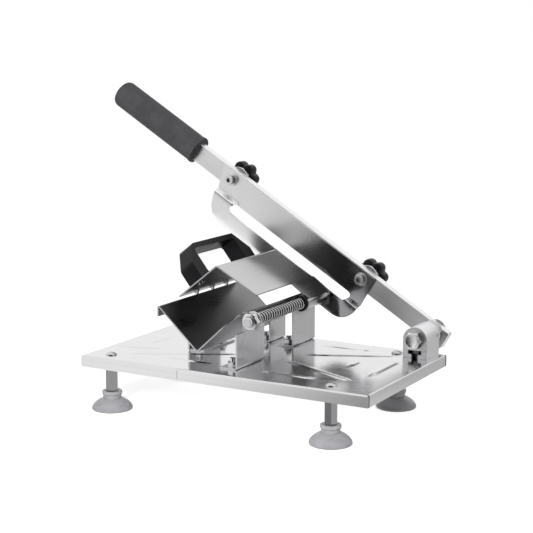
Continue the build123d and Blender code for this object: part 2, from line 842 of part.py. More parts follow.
# Trough: the V section with its lips, its front right corner cut round, and two ears bent
# outwards from the right lip to carry the feed rod
ear_low = rod_z - (ear_height - rod_below_rim)
ear_width = ear_reach + trough_sheet
lip_front = front_ear_y + trough_sheet
lip_back = rear_ear_y + trough_sheet
with BuildPart() as trough:
    with BuildSketch(front_plane(trough_back)):
        folded_strip(
            [
                (right_rim_x, right_rim_z - right_lip),
                (right_rim_x, right_rim_z),
                (trough_x, trough_z),
                (left_rim_x, left_rim_z),
                (left_rim_x, left_rim_z - left_lip),
            ],
            trough_bend,
            trough_sheet,
            Side.LEFT,
        )
    extrude(amount=trough_back - trough_front)
    round_share = 1 - math.sqrt(0.5)
    with BuildSketch(Plane.XY.offset(trough_z)):
        with BuildLine():
            ThreePointArc(
                (right_rim_x - rim_round, trough_front),
                (
                    right_rim_x - rim_round * round_share,
                    trough_front + (lip_front - trough_front) * round_share,
                ),
                (right_rim_x, lip_front),
            )
            Polyline(
                (right_rim_x, lip_front),
                (right_rim_x + overrun, lip_front),
                (right_rim_x + overrun, trough_front - overrun),
                (right_rim_x - rim_round, trough_front - overrun),
                (right_rim_x - rim_round, trough_front),
            )
        make_face()
        with Locations((right_rim_x, (trough_front + lip_front) / 2)):
            Rectangle(2 * trough_sheet, lip_front - trough_front)
    extrude(amount=right_rim_z - trough_z, mode=Mode.SUBTRACT)
    for y in (lip_front, lip_back):
        with BuildSketch(front_plane(y)) as ear:
            with Locations((right_rim_x + ear_reach - ear_width / 2, ear_low + ear_height / 2)):
                Rectangle(ear_width, ear_height)
            outer_corners = ear.vertices().group_by(Axis.X)[-1]
            fillet(outer_corners, radius=ear_corner)
        extrude(amount=trough_sheet)
    for y, radius in ((lip_front, rod_thread_diameter / 2), (lip_back, rod_radius)):
        with BuildSketch(front_plane(y)):
            with Locations((rod_x, rod_z)):
                Circle(radius + press_gap)
        extrude(amount=trough_sheet, mode=Mode.SUBTRACT)
    with BuildSketch(front_plane(trough_back)):
        with Locations((right_rim_x, right_rim_z - right_lip)):
            Rectangle(2 * trough_sheet + overrun, right_lip)
    extrude(amount=trough_back - lip_back, mode=Mode.SUBTRACT)
finish_piece(trough, "trough")

# Stands: folded brackets between the base and the trough. The outer ones end behind the
# trough's lips, the inner one under its right-hand side
underside = trough_sheet / math.cos(math.radians(trough_slope))
right_tab_top = right_rim_z - right_lip + tab_lap
left_tab_top = left_rim_z - left_lip + left_tab_lap
inner_top = trough_z + (inner_wall_x - stand_sheet - trough_x) * trough_tan - underside
bolt_hole = stand_bolt_diameter / 2 + screw_clearance


def bracket(foot_place, top, wall_on_right=True):
    """Add a folded bracket, a foot on the base and a wall, with its two bolt holes."""
    low_x, high_x, low_y, length = foot_place
    foot_end, wall_x, side = (low_x, high_x, Side.LEFT) if wall_on_right else (high_x, low_x, Side.RIGHT)
    with BuildSketch(front_plane(low_y + length)) as section:
        with BuildLine() as path:
            FilletPolyline((foot_end, top_z), (wall_x, top_z), (wall_x, top), radius=stand_bend)
            offset(amount=stand_sheet, side=side)
        make_face(path.line.edges())
    extrude(section.sketch, amount=length)
    with Locations(*[
        ((low_x + high_x) / 2, y, top_z + stand_sheet)
        for y in (low_y + stand_bolt_inset, low_y + length - stand_bolt_inset)
    ]):
        Hole(bolt_hole)


def across(x):
    """Plane along the machine at x: local x to the back, local y up, normal to the right."""
    return Plane(origin=(x, 0, 0), x_dir=(0, 1, 0), z_dir=(1, 0, 0))


with BuildPart() as front_stand:
    bracket(stand_feet[0], right_tab_top)
    with BuildSketch(across(right_wall_x + overrun)):
        shoulder_low = top_z + front_stand_height
        shoulder_cut = right_tab_top + overrun - shoulder_low
        with Locations((front_stand_y + (front_tab_from - overrun) / 2, shoulder_low + shoulder_cut / 2)):
            Rectangle(front_tab_from + overrun, shoulder_cut)
    extrude(amount=-stand_sheet - 2 * overrun, mode=Mode.SUBTRACT)
finish_piece(front_stand, "front_stand")

with BuildPart() as rear_stand:
    bracket(stand_feet[1], right_tab_top)
    upright = rear_stand.edges().filter_by(Axis.X).group_by(Axis.Z)[-1].sort_by(Axis.Y)[-1]
    fillet(upright, radius=rear_stand_corner)
finish_piece(rear_stand, "rear_stand")

with BuildPart() as inner_stand:
    bracket(stand_feet[2], inner_top)
finish_piece(inner_stand, "inner_stand")

with BuildPart() as left_stand:
    bracket(stand_feet[3], left_tab_top, wall_on_right=False)
finish_piece(left_stand, "left_stand")

# Stand bolts come up through the sheet and each foot; their nuts sit on the feet
with BuildPart() as stand_bolts:
    for x, y in stand_bolt_places:
        hex_on(looking_down(x, y, under_z), stand_bolt_flats, stand_bolt_head)
        shank = plate_sheet + stand_sheet + stand_nut_height + stand_bolt_tail
        rod_between(level_at(x, y, under_z), stand_bolt_diameter / 2, shank)
finish_piece(stand_bolts, "stand_bolts")

with BuildPart() as stand_nuts:
    for x, y in stand_bolt_places:
        at = level_at(x, y, top_z + stand_sheet)
        hex_on(at, stand_bolt_flats, stand_nut_height, hole=stand_bolt_diameter + 2 * press_gap)
finish_piece(stand_nuts, "stand_nuts")

# Feed rod: clamped in the front ear by its nut and washer, riveted over behind the rear ear
with BuildPart() as feed_rod:
    rod_between(front_at(rod_x, spring_front, rod_z), rod_thread_diameter / 2, spring_front - rod_tip)
    chamfer(feed_rod.faces().sort_by(Axis.Y)[0].edges(), length=nut_edge)
    rod_end = front_at(rod_x, lip_back + rivet_height, rod_z)
    rod_between(rod_end, rod_radius, lip_back + rivet_height - spring_front)
    rod_between(rod_end, rivet_diameter / 2, rivet_height)
    chamfer(feed_rod.faces().sort_by(Axis.Y)[-1].edges(), length=rivet_height / 2)
finish_piece(feed_rod, "feed_rod")

with BuildPart() as rod_washers:
    washer_on(
        front_at(rod_x, front_ear_y, rod_z),
        rod_washer_diameter,
        rod_thread_diameter + 2 * press_gap,
        rod_washer,
    )
finish_piece(rod_washers, "rod_washer")

with BuildPart() as rod_nut:
    at = front_at(rod_x, front_ear_y - rod_washer, rod_z)
    hex_on(at, rod_nut_flats, rod_nut_height, hole=rod_thread_diameter + 2 * press_gap)
finish_piece(rod_nut, "rod_nut")

# Feed spring: a helix wound round the rod between the front ear and the slide's ring. Each
# half turn is two tangent arcs, and both ends bend to run straight against what they press
spring_end_turn = math.radians(90) - math.atan2(spring_length, spring_turns * 2 * math.pi * spring_radius)
end_chord = 2 * spring_end_bend * math.sin(spring_end_turn / 2)
end_rise = end_chord * math.cos(spring_end_turn / 2) + wire_diameter
helix_start = spring_front + end_rise
helix_length = spring_length - 2 * end_rise
helix_rise = helix_length / (2 * math.pi * spring_turns)


def helix_point(turn):
    """Point on the spring's centre line after a number of radians."""
    return Vector(
        rod_x + spring_radius * math.cos(turn),
        helix_start + helix_rise * turn,
        rod_z + spring_radius * math.sin(turn),
    )


def helix_direction(turn):
    """Direction of the spring's centre line after a number of radians."""
    return Vector(-spring_radius * math.sin(turn), helix_rise, spring_radius * math.cos(turn)).normalized()


def two_arcs(start, start_direction, end, end_direction):
    """Join two points by two arcs that are tangent to each other and to both directions."""
    gap = end - start
    along = gap.dot(start_direction + end_direction)
    spread = 2 * (1 - start_direction.dot(end_direction))
    reach = (math.sqrt(along**2 + spread * gap.dot(gap)) - along) / spread
    first_corner = start + start_direction * reach
    last_corner = end - end_direction * reach
    middle = (first_corner + last_corner) * 0.5
    TangentArc(start, middle, tangent=start_direction)
    TangentArc(middle, end, tangent=(last_corner - first_corner).normalized())


half_turns = 2 * spring_turns
last_turn = half_turns * math.pi
along_rod = Vector(0, 1, 0)
start_bend = (along_rod + helix_direction(0)).normalized() * end_chord
end_bend = (along_rod + helix_direction(last_turn)).normalized() * end_chord
spring_foot = helix_point(0) - start_bend
spring_head = helix_point(last_turn) + end_bend
with BuildPart() as feed_spring:
    with BuildLine() as spring_path:
        Line(spring_foot - along_rod * wire_diameter, spring_foot)
        TangentArc(spring_foot, helix_point(0), tangent=along_rod)
        for half in range(half_turns):
            two_arcs(
                helix_point(half * math.pi),
                helix_direction(half * math.pi),
                helix_point((half + 1) * math.pi),
                helix_direction((half + 1) * math.pi),
            )
        TangentArc(helix_point(last_turn), spring_head, tangent=helix_direction(last_turn))
        Line(spring_head, spring_head + along_rod * wire_diameter)
    with BuildSketch(Plane(origin=spring_foot - along_rod * wire_diameter, x_dir=(1, 0, 0), z_dir=(0, 1, 0))):
        Circle(wire_diameter / 2)
    sweep(path=spring_path.line)
finish_piece(feed_spring, "feed_spring")

spring_wire = spring_path.line.edges()
wire_length = sum(edge.length for edge in spring_wire)
full_volume = wire_length * math.pi * wire_diameter**2 / 4
volume_share = feed_spring.part.volume / full_volume
half_steps = 12
samples = [helix_point(step * math.pi / half_steps) for step in range(half_steps * half_turns + 1)]
least_gap = min(
    (samples[first] - samples[second]).length - wire_diameter
    for first in range(len(samples))
    for second in range(first + half_steps, min(first + 3 * half_steps + 1, len(samples)))
)
print("spring wire", round(wire_length, 1), "mm, volume share", round(volume_share, 4))
print("spring least gap to itself", round(least_gap, 2), "mm")

# Slide: a tube that runs on the rod, with a black ring at its front for the spring to press
with BuildPart() as slide_sleeve:
    washer_on(
        front_at(rod_x, sleeve_back, rod_z),
        2 * sleeve_radius,
        rod_diameter + 2 * running_fit,
        sleeve_back - sleeve_front,
    )
finish_piece(slide_sleeve, "slide_sleeve")

with BuildPart() as spring_ring:
    washer_on(
        front_at(rod_x, sleeve_front, rod_z),
        ring_diameter,
        rod_diameter + 2 * running_fit,
        ring_length,
    )
    ring_rims = spring_ring.edges().filter_by(GeomType.CIRCLE)
    outer_rims = ring_rims.filter_by(lambda edge: edge.radius > sleeve_radius)
    chamfer(outer_rims, length=ring_edge)
finish_piece(spring_ring, "spring_ring")

# Pusher hood: a folded roof over the trough. Its right side runs on as a tab that is welded to
# a tube round the slide; three teeth stand inside its left lower edge
left_down = Vector(-math.cos(math.radians(hood_left_slope)), 0, -math.sin(math.radians(hood_left_slope)))
left_inward = Vector(-left_down.Z, 0, left_down.X)
rod_centre = Vector(rod_x, 0, rod_z)
tab_root = Vector(hood_right_x, 0, hood_right_z)
to_root = tab_root - rod_centre
tab_reach = tube_outer + press_gap + hood_sheet
tangent_turn = math.atan2(to_root.Z, to_root.X) - math.acos(tab_reach / to_root.length)
tab_out = Vector(math.cos(tangent_turn), 0, math.sin(tangent_turn))
tab_foot = rod_centre + tab_out * tab_reach
tab_down = (tab_foot - tab_root).normalized()
tab_length = (tab_foot - tab_root).length + tab_past_tube
tube_front = sleeve_front + side_play
tube_back = tab_back - tube_short
apex = Vector(hood_x, 0, hood_z)
handle_middle = handle_from_apex + handle_thickness / 2
handle_screw_ys = (hood_front + handle_screw_inset, hood_front + handle_length - handle_screw_inset)


def screw_plane(y, drop, normal):
    """Plane on the hood's left side, a distance down from the ridge, facing in or out."""
    at = apex + left_down * handle_middle + left_inward * drop + Vector(0, y, 0)
    return Plane(origin=at, x_dir=(0, 1, 0), z_dir=normal)


with BuildPart() as pusher_hood:
    with BuildSketch(front_plane(hood_back)):
        folded_strip(
            [(hood_left_x, hood_left_z), (hood_x, hood_z), (hood_right_x, hood_right_z)],
            hood_bend,
            hood_sheet,
            Side.RIGHT,
        )
    extrude(amount=hood_length)
    tab_face = Plane(origin=tab_root + Vector(0, tab_front, 0), x_dir=(0, 1, 0), z_dir=-tab_out)
    with BuildSketch(tab_face) as tab_outline:
        tab_width = tab_back - tab_front
        tab_side = 1 if tab_face.y_dir.dot(tab_down) > 0 else -1
        with Locations((tab_width / 2, tab_side * tab_length / 2)):
            Rectangle(tab_width, tab_length)
        rear_low = tab_outline.vertices().group_by(Axis.X)[-1].sort_by(Axis.Y)[-1 if tab_side > 0 else 0]
        fillet(rear_low, radius=tab_corner)
    extrude(amount=hood_sheet)
    edge_inside = Vector(hood_left_x, 0, hood_left_z) + left_inward * (hood_sheet / 2)
    for share in tooth_shares:
        tooth_tip = edge_inside + left_inward * (tooth_height + hood_sheet / 2) - left_down * trough_sheet
        tooth_root = edge_inside - left_down * tooth_length
        with BuildSketch(front_plane(hood_front + share * hood_length + tooth_width)):
            with BuildLine():
                Polyline(
                    (edge_inside.X, edge_inside.Z),
                    (tooth_tip.X, tooth_tip.Z),
                    (tooth_root.X, tooth_root.Z),
                    close=True,
                )
            make_face()
        extrude(amount=tooth_width)
    for y in handle_screw_ys:
        with BuildSketch(screw_plane(y, hood_sheet + overrun, -left_inward)):
            Circle(handle_screw_diameter / 2 + screw_clearance)
        extrude(amount=hood_sheet + 2 * overrun, mode=Mode.SUBTRACT)
finish_piece(pusher_hood, "pusher_hood")

with BuildPart() as hood_tube:
    washer_on(front_at(rod_x, tube_back, rod_z), 2 * tube_outer, 2 * tube_inner, tube_back - tube_front)
finish_piece(hood_tube, "hood_tube")

# Pusher handle: a moulded loop standing on the hood's left side, held by two screws
handle_low = apex + left_down * (handle_from_apex + handle_thickness) + Vector(0, hood_front, 0)
with BuildPart() as pusher_handle:
    with BuildSketch(Plane(origin=handle_low, x_dir=(0, 1, 0), z_dir=-left_down)) as loop:
        with BuildLine():
            Polyline(
                (0, 0),
                (0, handle_shoulder),
                (handle_front_slant, handle_height),
                (handle_length - handle_back_slant, handle_height),
                (handle_length, handle_shoulder),
                (handle_length, 0),
                close=True,
            )
        make_face()
        front_shoulders = loop.vertices().sort_by(Axis.X)[:3].sort_by(Axis.Y)[1:]
        fillet(front_shoulders, radius=handle_round)
        window_width = handle_length - window_front - window_back
        window_height = handle_height - window_top - window_floor
        with Locations((window_front + window_width / 2, window_floor + window_height / 2)):
            RectangleRounded(window_width, window_height, window_corner, mode=Mode.SUBTRACT)
    extrude(amount=handle_thickness)
    for y in handle_screw_ys:
        with BuildSketch(screw_plane(y, 0, -left_inward)):
            Circle(handle_screw_diameter / 2 + press_gap)
        extrude(amount=handle_screw_length - hood_sheet + overrun, mode=Mode.SUBTRACT)
finish_piece(pusher_handle, "pusher_handle")

with BuildPart() as handle_screws:
    for y in handle_screw_ys:
        rod_between(screw_plane(y, hood_sheet, left_inward), handle_screw_head / 2, handle_screw_head_height)
        rod_between(screw_plane(y, hood_sheet, -left_inward), handle_screw_diameter / 2, handle_screw_length)
finish_piece(handle_screws, "handle_screws")
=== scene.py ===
"""Looks of a hand-operated meat slicer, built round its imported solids."""

import cmath
import json
import math

import bmesh
import bpy
import numpy as np
from mathutils import Matrix, Vector

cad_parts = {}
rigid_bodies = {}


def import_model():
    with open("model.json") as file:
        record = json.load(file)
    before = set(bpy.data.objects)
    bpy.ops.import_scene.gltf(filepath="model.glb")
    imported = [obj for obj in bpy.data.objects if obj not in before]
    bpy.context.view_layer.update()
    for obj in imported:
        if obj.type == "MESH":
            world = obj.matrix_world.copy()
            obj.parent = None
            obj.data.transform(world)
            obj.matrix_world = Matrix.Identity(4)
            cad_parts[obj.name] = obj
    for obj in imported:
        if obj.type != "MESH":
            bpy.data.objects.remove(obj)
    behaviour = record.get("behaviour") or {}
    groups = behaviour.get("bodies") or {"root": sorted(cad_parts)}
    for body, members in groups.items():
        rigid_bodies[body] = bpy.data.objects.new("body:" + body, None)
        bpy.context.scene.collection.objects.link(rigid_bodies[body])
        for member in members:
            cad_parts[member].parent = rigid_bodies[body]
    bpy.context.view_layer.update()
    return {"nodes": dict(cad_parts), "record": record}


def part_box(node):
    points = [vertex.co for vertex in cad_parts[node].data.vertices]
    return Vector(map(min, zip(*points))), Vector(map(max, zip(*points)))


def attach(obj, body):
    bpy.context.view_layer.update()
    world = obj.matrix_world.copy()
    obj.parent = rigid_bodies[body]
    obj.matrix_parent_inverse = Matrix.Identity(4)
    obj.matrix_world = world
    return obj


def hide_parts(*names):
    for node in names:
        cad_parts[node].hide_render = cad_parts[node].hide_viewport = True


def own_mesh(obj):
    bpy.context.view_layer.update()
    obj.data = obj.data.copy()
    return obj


for spare in list(bpy.data.objects):
    bpy.data.objects.remove(spare)
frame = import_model()
mm = 0.001

# Base pan: one sheet of stainless steel with four flanges folded down. The side flanges stop
# short of the front and back ones and leave a gap at each corner, beside which the side flange
# carries a dark painted shade. Beads are pressed up into the brushed top, and a narrow relief
# slit is cut in the front flange.
pan_low, pan_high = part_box("base_plate")
bead_rise = 0.8 * mm
pan_top = pan_high.z - bead_rise
pan_sheet = 1.2 * mm
pan_bend = 1.6 * mm
bend_steps = 5
slit_from_left = 124 * mm
slit_width = 0.8 * mm
pan_slit = [pan_low.x + slit_from_left + side * slit_width / 2 for side in (-1, 1)]
pan_grid = 1.5 * mm
bead_half_width = 4.6 * mm
bead_flank_share = 1 / 1.6
bead_end_share = 0.35
bead_taper = 9 * mm
bead_margin = 2 * mm
stands = ("front_stand", "rear_stand", "inner_stand", "left_stand")
seam_shade_near = 0.8 * mm
seam_shade_far = 3.2 * mm
seam_shade_blur = 0.4 * mm
bead_shares = (
    ((0.12, 0.16), (0.42, 0.44)),
    ((0.88, 0.22), (0.60, 0.44)),
    ((0.87, 0.82), (0.62, 0.62)),
    ((0.12, 0.84), (0.20, 0.76)),
    ((0.25, 0.19), (0.42, 0.19)),
    ((0.60, 0.18), (0.78, 0.17)),
    ((0.59, 0.86), (0.78, 0.87)),
    ((0.27, 0.86), (0.37, 0.86)),
    ((0.05, 0.30), (0.17, 0.34)),
    ((0.905, 0.36), (0.905, 0.72)),
    ((0.80, 0.48), (0.80, 0.64)),
    ((0.10, 0.44), (0.10, 0.66)),
)


class Signal:
    """One output of a shader node. Arithmetic on it adds Math nodes to its finish."""

    def __init__(self, finish, socket):
        self.finish = finish
        self.socket = socket

    def maths(self, operation, *others):
        """Add a Math node that takes this value, then any others."""
        return self.finish.node("Math", {"operation": operation}, dict(enumerate((self, *others))))

    def __add__(self, other):
        return self.maths("ADD", other)

    def __sub__(self, other):
        return self.maths("SUBTRACT", other)

    def __rsub__(self, other):
        return self.maths("MULTIPLY_ADD", -1.0, other)

    def __mul__(self, other):
        return self.maths("MULTIPLY", other)

    __radd__ = __add__
    __rmul__ = __mul__

    def ramp(self, start, end, low=0.0, high=1.0):
        """Run smoothly from low to high as this value goes from start to end."""
        limits = {"Value": self, "From Min": start, "From Max": end, "To Min": low, "To Max": high}
        kind = {"clamp": True, "interpolation_type": "SMOOTHSTEP"}
        return self.finish.node("MapRange", kind, limits)


class Finish:
    """A procedural material: its shader tree and the ways to add to it."""

    def __init__(self, name, **values):
        self.material = bpy.data.materials.new(name)
        self.material.use_nodes = True
        self.tree = self.material.node_tree
        self.shader = self.tree.nodes["Principled BSDF"]
        self.set(**values)

    def set(self, **values):
        """Give sockets of the Principled shader their values or links, by name."""
        for name, value in values.items():
            self.feed(self.shader.inputs[name.replace("_", " ")], value)

    def feed(self, socket, value):
        """Link a signal to a socket, or write a number or a colour into it."""
        if isinstance(value, Signal):
            self.tree.links.new(value.socket, socket)
        elif socket.type == "RGBA":
            socket.default_value = (*value[:3], 1.0)
        else:
            socket.default_value = value

    def node(self, kind, settings=None, inputs=None, output=0):
        """Add one node: its settings first, then the values or links of its sockets."""
        made = self.tree.nodes.new("ShaderNode" + kind)
        for name, value in (settings or {}).items():
            setattr(made, name, value)
        for name, value in (inputs or {}).items():
            self.feed(made.inputs[name], value)
        return Signal(self, made.outputs[output])

    def place(self, axis=(1, 0, 0), along=1.0, across=1.0):
        """Object coordinates turned so that X runs along an axis, scaled along and across it."""
        first = Vector(axis).normalized()
        spare = Vector((0, 1, 0)) if abs(first.y) < 0.9 else Vector((1, 0, 0))
        second = first.cross(spare).normalized()
        turn = Matrix((first, second, first.cross(second))).to_euler("XYZ")
        here = self.node("TexCoord", output="Object")
        turned = self.node("Mapping", None, {"Vector": here, "Rotation": tuple(turn)})
        return self.node("Mapping", None, {"Vector": turned, "Scale": (along, across, across)})

    def noise(self, place, scale=1.0, detail=2.0, roughness=0.5):
        """Noise about 0.5 at a place."""
        values = {"Vector": place, "Scale": scale, "Detail": detail, "Roughness": roughness}
        return self.node("TexNoise", None, values)

    def tint(self, share, first, second):
        """A colour between two, by a share."""
        return self.node("Mix", {"data_type": "RGBA"}, {0: share, 6: first, 7: second}, output=2)

    def coordinate(self, axis, kind="Object"):
        """One coordinate of the object, its normal or, in the surround, the direction."""
        parts = self.node("SeparateXYZ", None, {"Vector": self.node("TexCoord", output=kind)})
        return Signal(self, parts.socket.node.outputs[axis])

    def bump(self, height, strength=0.6, distance=1 * mm):
        """Tilt the surface by a height, where 1 is as high as the distance."""
        values = {"Height": height, "Strength": strength, "Distance": distance}
        self.set(Normal=self.node("Bump", None, values))


def steel(name, colour, rough, grain, brush, wave=0.0, inside=0, painted_shade_tone=0.0):
    """Steel brushed along its grain, with smears and, in thin sheet, slow waves.

    The face that looks inside a folded piece, up (1) or down (-1), gets painted shade: a darker tone.
    """
    finish = Finish(name, Metallic=1.0)
    lines = finish.noise(finish.place(grain, 3, 260), detail=4.0, roughness=0.6)
    smears = finish.noise(finish.place(grain, 15, 38), detail=3.0)
    worn = smears.ramp(0.3, 0.7, 0.85 * rough, 1.2 * rough)
    finish.set(Roughness=worn + lines.ramp(0.3, 0.7, -0.15 * brush * rough, 0.15 * brush * rough))
    darker = tuple(channel * (1 - 0.12 * brush) for channel in colour)
    tone = finish.tint(lines.ramp(0.3, 0.7), darker, colour)
    # Painted shade: faces turned into the fold take the darker tone.
    if inside:
        painted_shade_faces = (finish.coordinate("Z", "Normal") * inside).ramp(0.1, 0.3)
        tone = finish.tint(painted_shade_faces, tone, (painted_shade_tone,) * 3)
    finish.tone = tone
    finish.set(Base_Color=tone)
    height = smears * (0.02 * brush)
    if wave:
        height = height + finish.noise(finish.place(), 24.0, 1.0) * wave
    finish.bump(height)
    return finish


def piece_from(name, points, faces, finish, body, slot, stands_for):
    """Make a mesh piece from points in metres that rides on a body in place of a solid."""
    mesh = bpy.data.meshes.new(name)
    mesh.from_pydata([tuple(point) for point in points], [], [tuple(face) for face in faces])
    mesh.validate()
    piece = bpy.data.objects.new(name, mesh)
    bpy.context.scene.collection.objects.link(piece)
    mesh.materials.append(finish.material)
    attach(piece, body)
    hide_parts(stands_for)
    return piece


def clean_up(piece, sharp):
    """Merge doubled points, turn the faces outwards and keep edges past an angle sharp."""
    shell = bmesh.new()
    shell.from_mesh(piece.data)
    bmesh.ops.remove_doubles(shell, verts=shell.verts, dist=0.004 * mm)
    bmesh.ops.recalc_face_normals(shell, faces=shell.faces)
    shell.to_mesh(piece.data)
    shell.free()
    piece.data.shade_smooth()
    piece.data.set_sharp_from_angle(angle=math.radians(sharp))


def thickened(piece, sheet, side):
    """Give a surface the sheet's thickness, inwards (-1) or outwards (1), and return the modifier."""
    shell = piece.modifiers.new("sheet", "SOLIDIFY")
    shell.thickness = sheet
    shell.offset = side
    return shell


def flat_faces(piece):
    """Let large faces shade flat right up to the bends beside them."""
    level = piece.modifiers.new("level", "WEIGHTED_NORMAL")
    level.weight = 100
    level.keep_sharp = True


def pan_profile(low, high, extra=()):
    """Places and levels across the pan: flange foot, bend, top, bend, flange foot."""
    turns = [math.radians(90 * step / bend_steps) for step in range(bend_steps + 1)]
    down = pan_top - pan_bend
    even = np.linspace(low + pan_bend, high - pan_bend, int((high - low) / pan_grid))
    flat = np.unique(np.concatenate([even, extra]))[2:-2]
    rise = [(pan_bend * (1 - math.cos(turn)), down + pan_bend * math.sin(turn)) for turn in turns]
    side = [(0.0, pan_low.z), (0.0, down - pan_bend / 4)] + rise + [(pan_bend * 1.25, pan_top)]
    return (
        [(low + inset, level) for inset, level in side]
        + [(place, pan_top) for place in flat]
        + [(high - inset, level) for inset, level in side[::-1]]
    )


def bead_lift(points):
    """How far the beads raise each point, tapered at their ends and flat under the stands."""
    lift = np.zeros(len(points))
    size = np.array([pan_high.x - pan_low.x, pan_high.y - pan_low.y])
    for shares in bead_shares:
        start, end = (np.array(pan_low[:2]) + np.array(share) * size for share in shares)
        run = end - start
        reach = np.linalg.norm(run)
        share = np.clip(((points[:, :2] - start) @ run) / reach**2, 0, 1)
        away = np.linalg.norm(points[:, :2] - start - share[:, None] * run, axis=1)
        from_end = np.clip(np.minimum(share, 1 - share) * reach / bead_taper, 0, 1)
        taper = bead_end_share + (1 - bead_end_share) * from_end
        swell = np.clip(1 - away / (bead_half_width * taper), 0, 1)
        crown = np.clip(swell / bead_flank_share, 0, 1)
        lift = np.maximum(lift, bead_rise * taper * crown**2 * (3 - 2 * crown))
    for stand in stands:
        stand_low, stand_high = (np.array(corner[:2]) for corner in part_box(stand))
        outside = np.maximum(stand_low - points[:, :2], points[:, :2] - stand_high).max(axis=1)
        lift *= np.clip((outside - bead_margin / 2) / bead_margin, 0, 1)
    return lift


def pan_surface():
    """The pan's outer face as a grid, open at the side flanges' ends and at the slit."""
    columns = pan_profile(pan_low.x, pan_high.x, pan_slit)
    rows = pan_profile(pan_low.y, pan_high.y)
    points = []
    for y, y_level in rows:
        fold = 1 - min((pan_top - y_level) / pan_bend, 1)
        points += [(x, y, y_level - (pan_top - x_level) * fold) for x, x_level in columns]
    points = np.array(points)
    points[:, 2] += bead_lift(points)
    across = len(columns)
    upright = 2
    bend = upright + bend_steps
    faces = []
    for j in range(len(rows) - 1):
        folded = j < bend or j >= len(rows) - 1 - bend
        for i in range(across - 1):
            if folded and (i < upright or i >= across - 1 - upright):
                continue
            middle = (columns[i][0] + columns[i + 1][0]) / 2
            if j < upright and pan_slit[0] < middle < pan_slit[1]:
                continue
            first = j * across + i
            faces.append((first, first + 1, first + 1 + across, first + across))
    return points, faces


pan_steel = steel("brushed_pan", (0.78, 0.78, 0.79), rough=0.15, grain=(1, 0, 0), brush=0.5, wave=0.07)
pan_middle = (pan_low + pan_high) / 2
pan_half = (pan_high - pan_low) / 2
off_x = (pan_steel.coordinate("X") - pan_middle.x).maths("ABSOLUTE")
off_y = (pan_steel.coordinate("Y") - pan_middle.y).maths("ABSOLUTE")
side_face = off_x.ramp(pan_half.x - pan_bend - seam_shade_blur, pan_half.x - pan_bend)
seam_shade_starts = off_y.ramp(pan_half.y - seam_shade_far - seam_shade_blur, pan_half.y - seam_shade_far)
seam_shade_ends = off_y.ramp(pan_half.y - seam_shade_near - seam_shade_blur, pan_half.y - seam_shade_near)
# Painted shade: a dark band on each side flange beside its corner gap.
seam_shade = side_face * (seam_shade_starts - seam_shade_ends)
pan_steel.set(Base_Color=pan_steel.tint(seam_shade, pan_steel.tone, (0.05, 0.05, 0.05)))
base_pan = piece_from("base_pan", *pan_surface(), pan_steel, "base", "stainless_sheet", "base_plate")
clean_up(base_pan, sharp=50)
thickened(base_pan, pan_sheet, side=-1)
flat_faces(base_pan)

# Feet: a hexagonal steel post under each corner, in a grey plastic collar on a suction cup of
# soft vinyl. A slotted dome screw comes down through the pan into each post.
collar_radius = 11 * mm
cup_profile = (
    (0.0, 3.6), (8.0, 3.2), (14.0, 2.2), (18.6, 0.8), (20.0, 0.1), (20.9, 0.0), (21.8, 0.3),
    (22.4, 1.1), (22.5, 2.1), (22.2, 3.4), (21.3, 5.1), (19.6, 7.1), (17.4, 9.0), (14.9, 10.7),
    (12.6, 11.9), (11.2, 12.5), (10.4, 12.8), (9.6, 13.0), (0.0, 13.0),
)
collar_profile = (
    (0.0, 13.0), (9.8, 13.0), (9.9, 13.4), (9.9, 16.4), (10.1, 16.9), (10.8, 17.2), (11.0, 17.7),
    (11.0, 20.2), (10.7, 20.8), (10.0, 21.0), (8.7, 21.0), (8.2, 20.8), (0.0, 20.8),
)
screw_shank = ((0.0, -15.0), (2.5, -15.0), (3.0, -14.5), (3.0, 0.0), (0.0, 0.0))
screw_steps = 24


def rounded_edges(piece, width, segments=2, angle=32):
    """Break a piece's sharp edges by a small round."""
    bevel = piece.modifiers.new("edges", "BEVEL")
    bevel.width = width
    bevel.segments = segments
    bevel.limit_method = "ANGLE"
    bevel.angle_limit = math.radians(angle)
    bevel.harden_normals = True


def dress(node, finish, edge, segments=2):
    """Give a solid that is kept its finish, and break its edges."""
    solid = frame["nodes"][node]
    solid.data.materials.clear()
    solid.data.materials.append(finish.material)
    weld = solid.modifiers.new("weld", "WELD")
    weld.merge_threshold = 0.002 * mm
    rounded_edges(solid, edge, segments)


def joined(rings, count):
    """Faces between rings of as many points each, one ring after another."""
    faces = []
    for ring in range(rings - 1):
        for step in range(count):
            first = ring * count + step
            after = ring * count + (step + 1) % count
            faces.append((first, after, after + count, first + count))
    return faces


def lathe(profile, centre, axis=(0, 0, 1), steps=64, flats=0):
    """Points and faces of a turned form from (radius, place along the axis) pairs in mm.

    With flats, the turned blank is milled to a hexagon of that width.
    """
    along = Vector(axis).normalized()
    spare = Vector((0, 1, 0)) if abs(along.y) < 0.9 else Vector((1, 0, 0))
    side = along.cross(spare).normalized()
    other = along.cross(side)
    sixth = math.pi / 3
    points = []
    for radius, place in profile:
        for turn in (2 * math.pi * step / steps for step in range(steps)):
            outwards = side * math.cos(turn) + other * math.sin(turn)
            from_flat = (turn + sixth / 2) % sixth - sixth / 2
            reach = min(radius, flats / 2 / math.cos(from_flat)) if flats else radius
            points.append(Vector(centre) + (along * place + outwards * reach) * mm)
    return points, joined(len(profile), steps)


def gathered(forms):
    """Several forms' points and faces as one."""
    points, faces = [], []
    for more_points, more_faces in forms:
        first = len(points)
        points += list(more_points)
        faces += [tuple(first + index for index in face) for face in more_faces]
    return points, faces


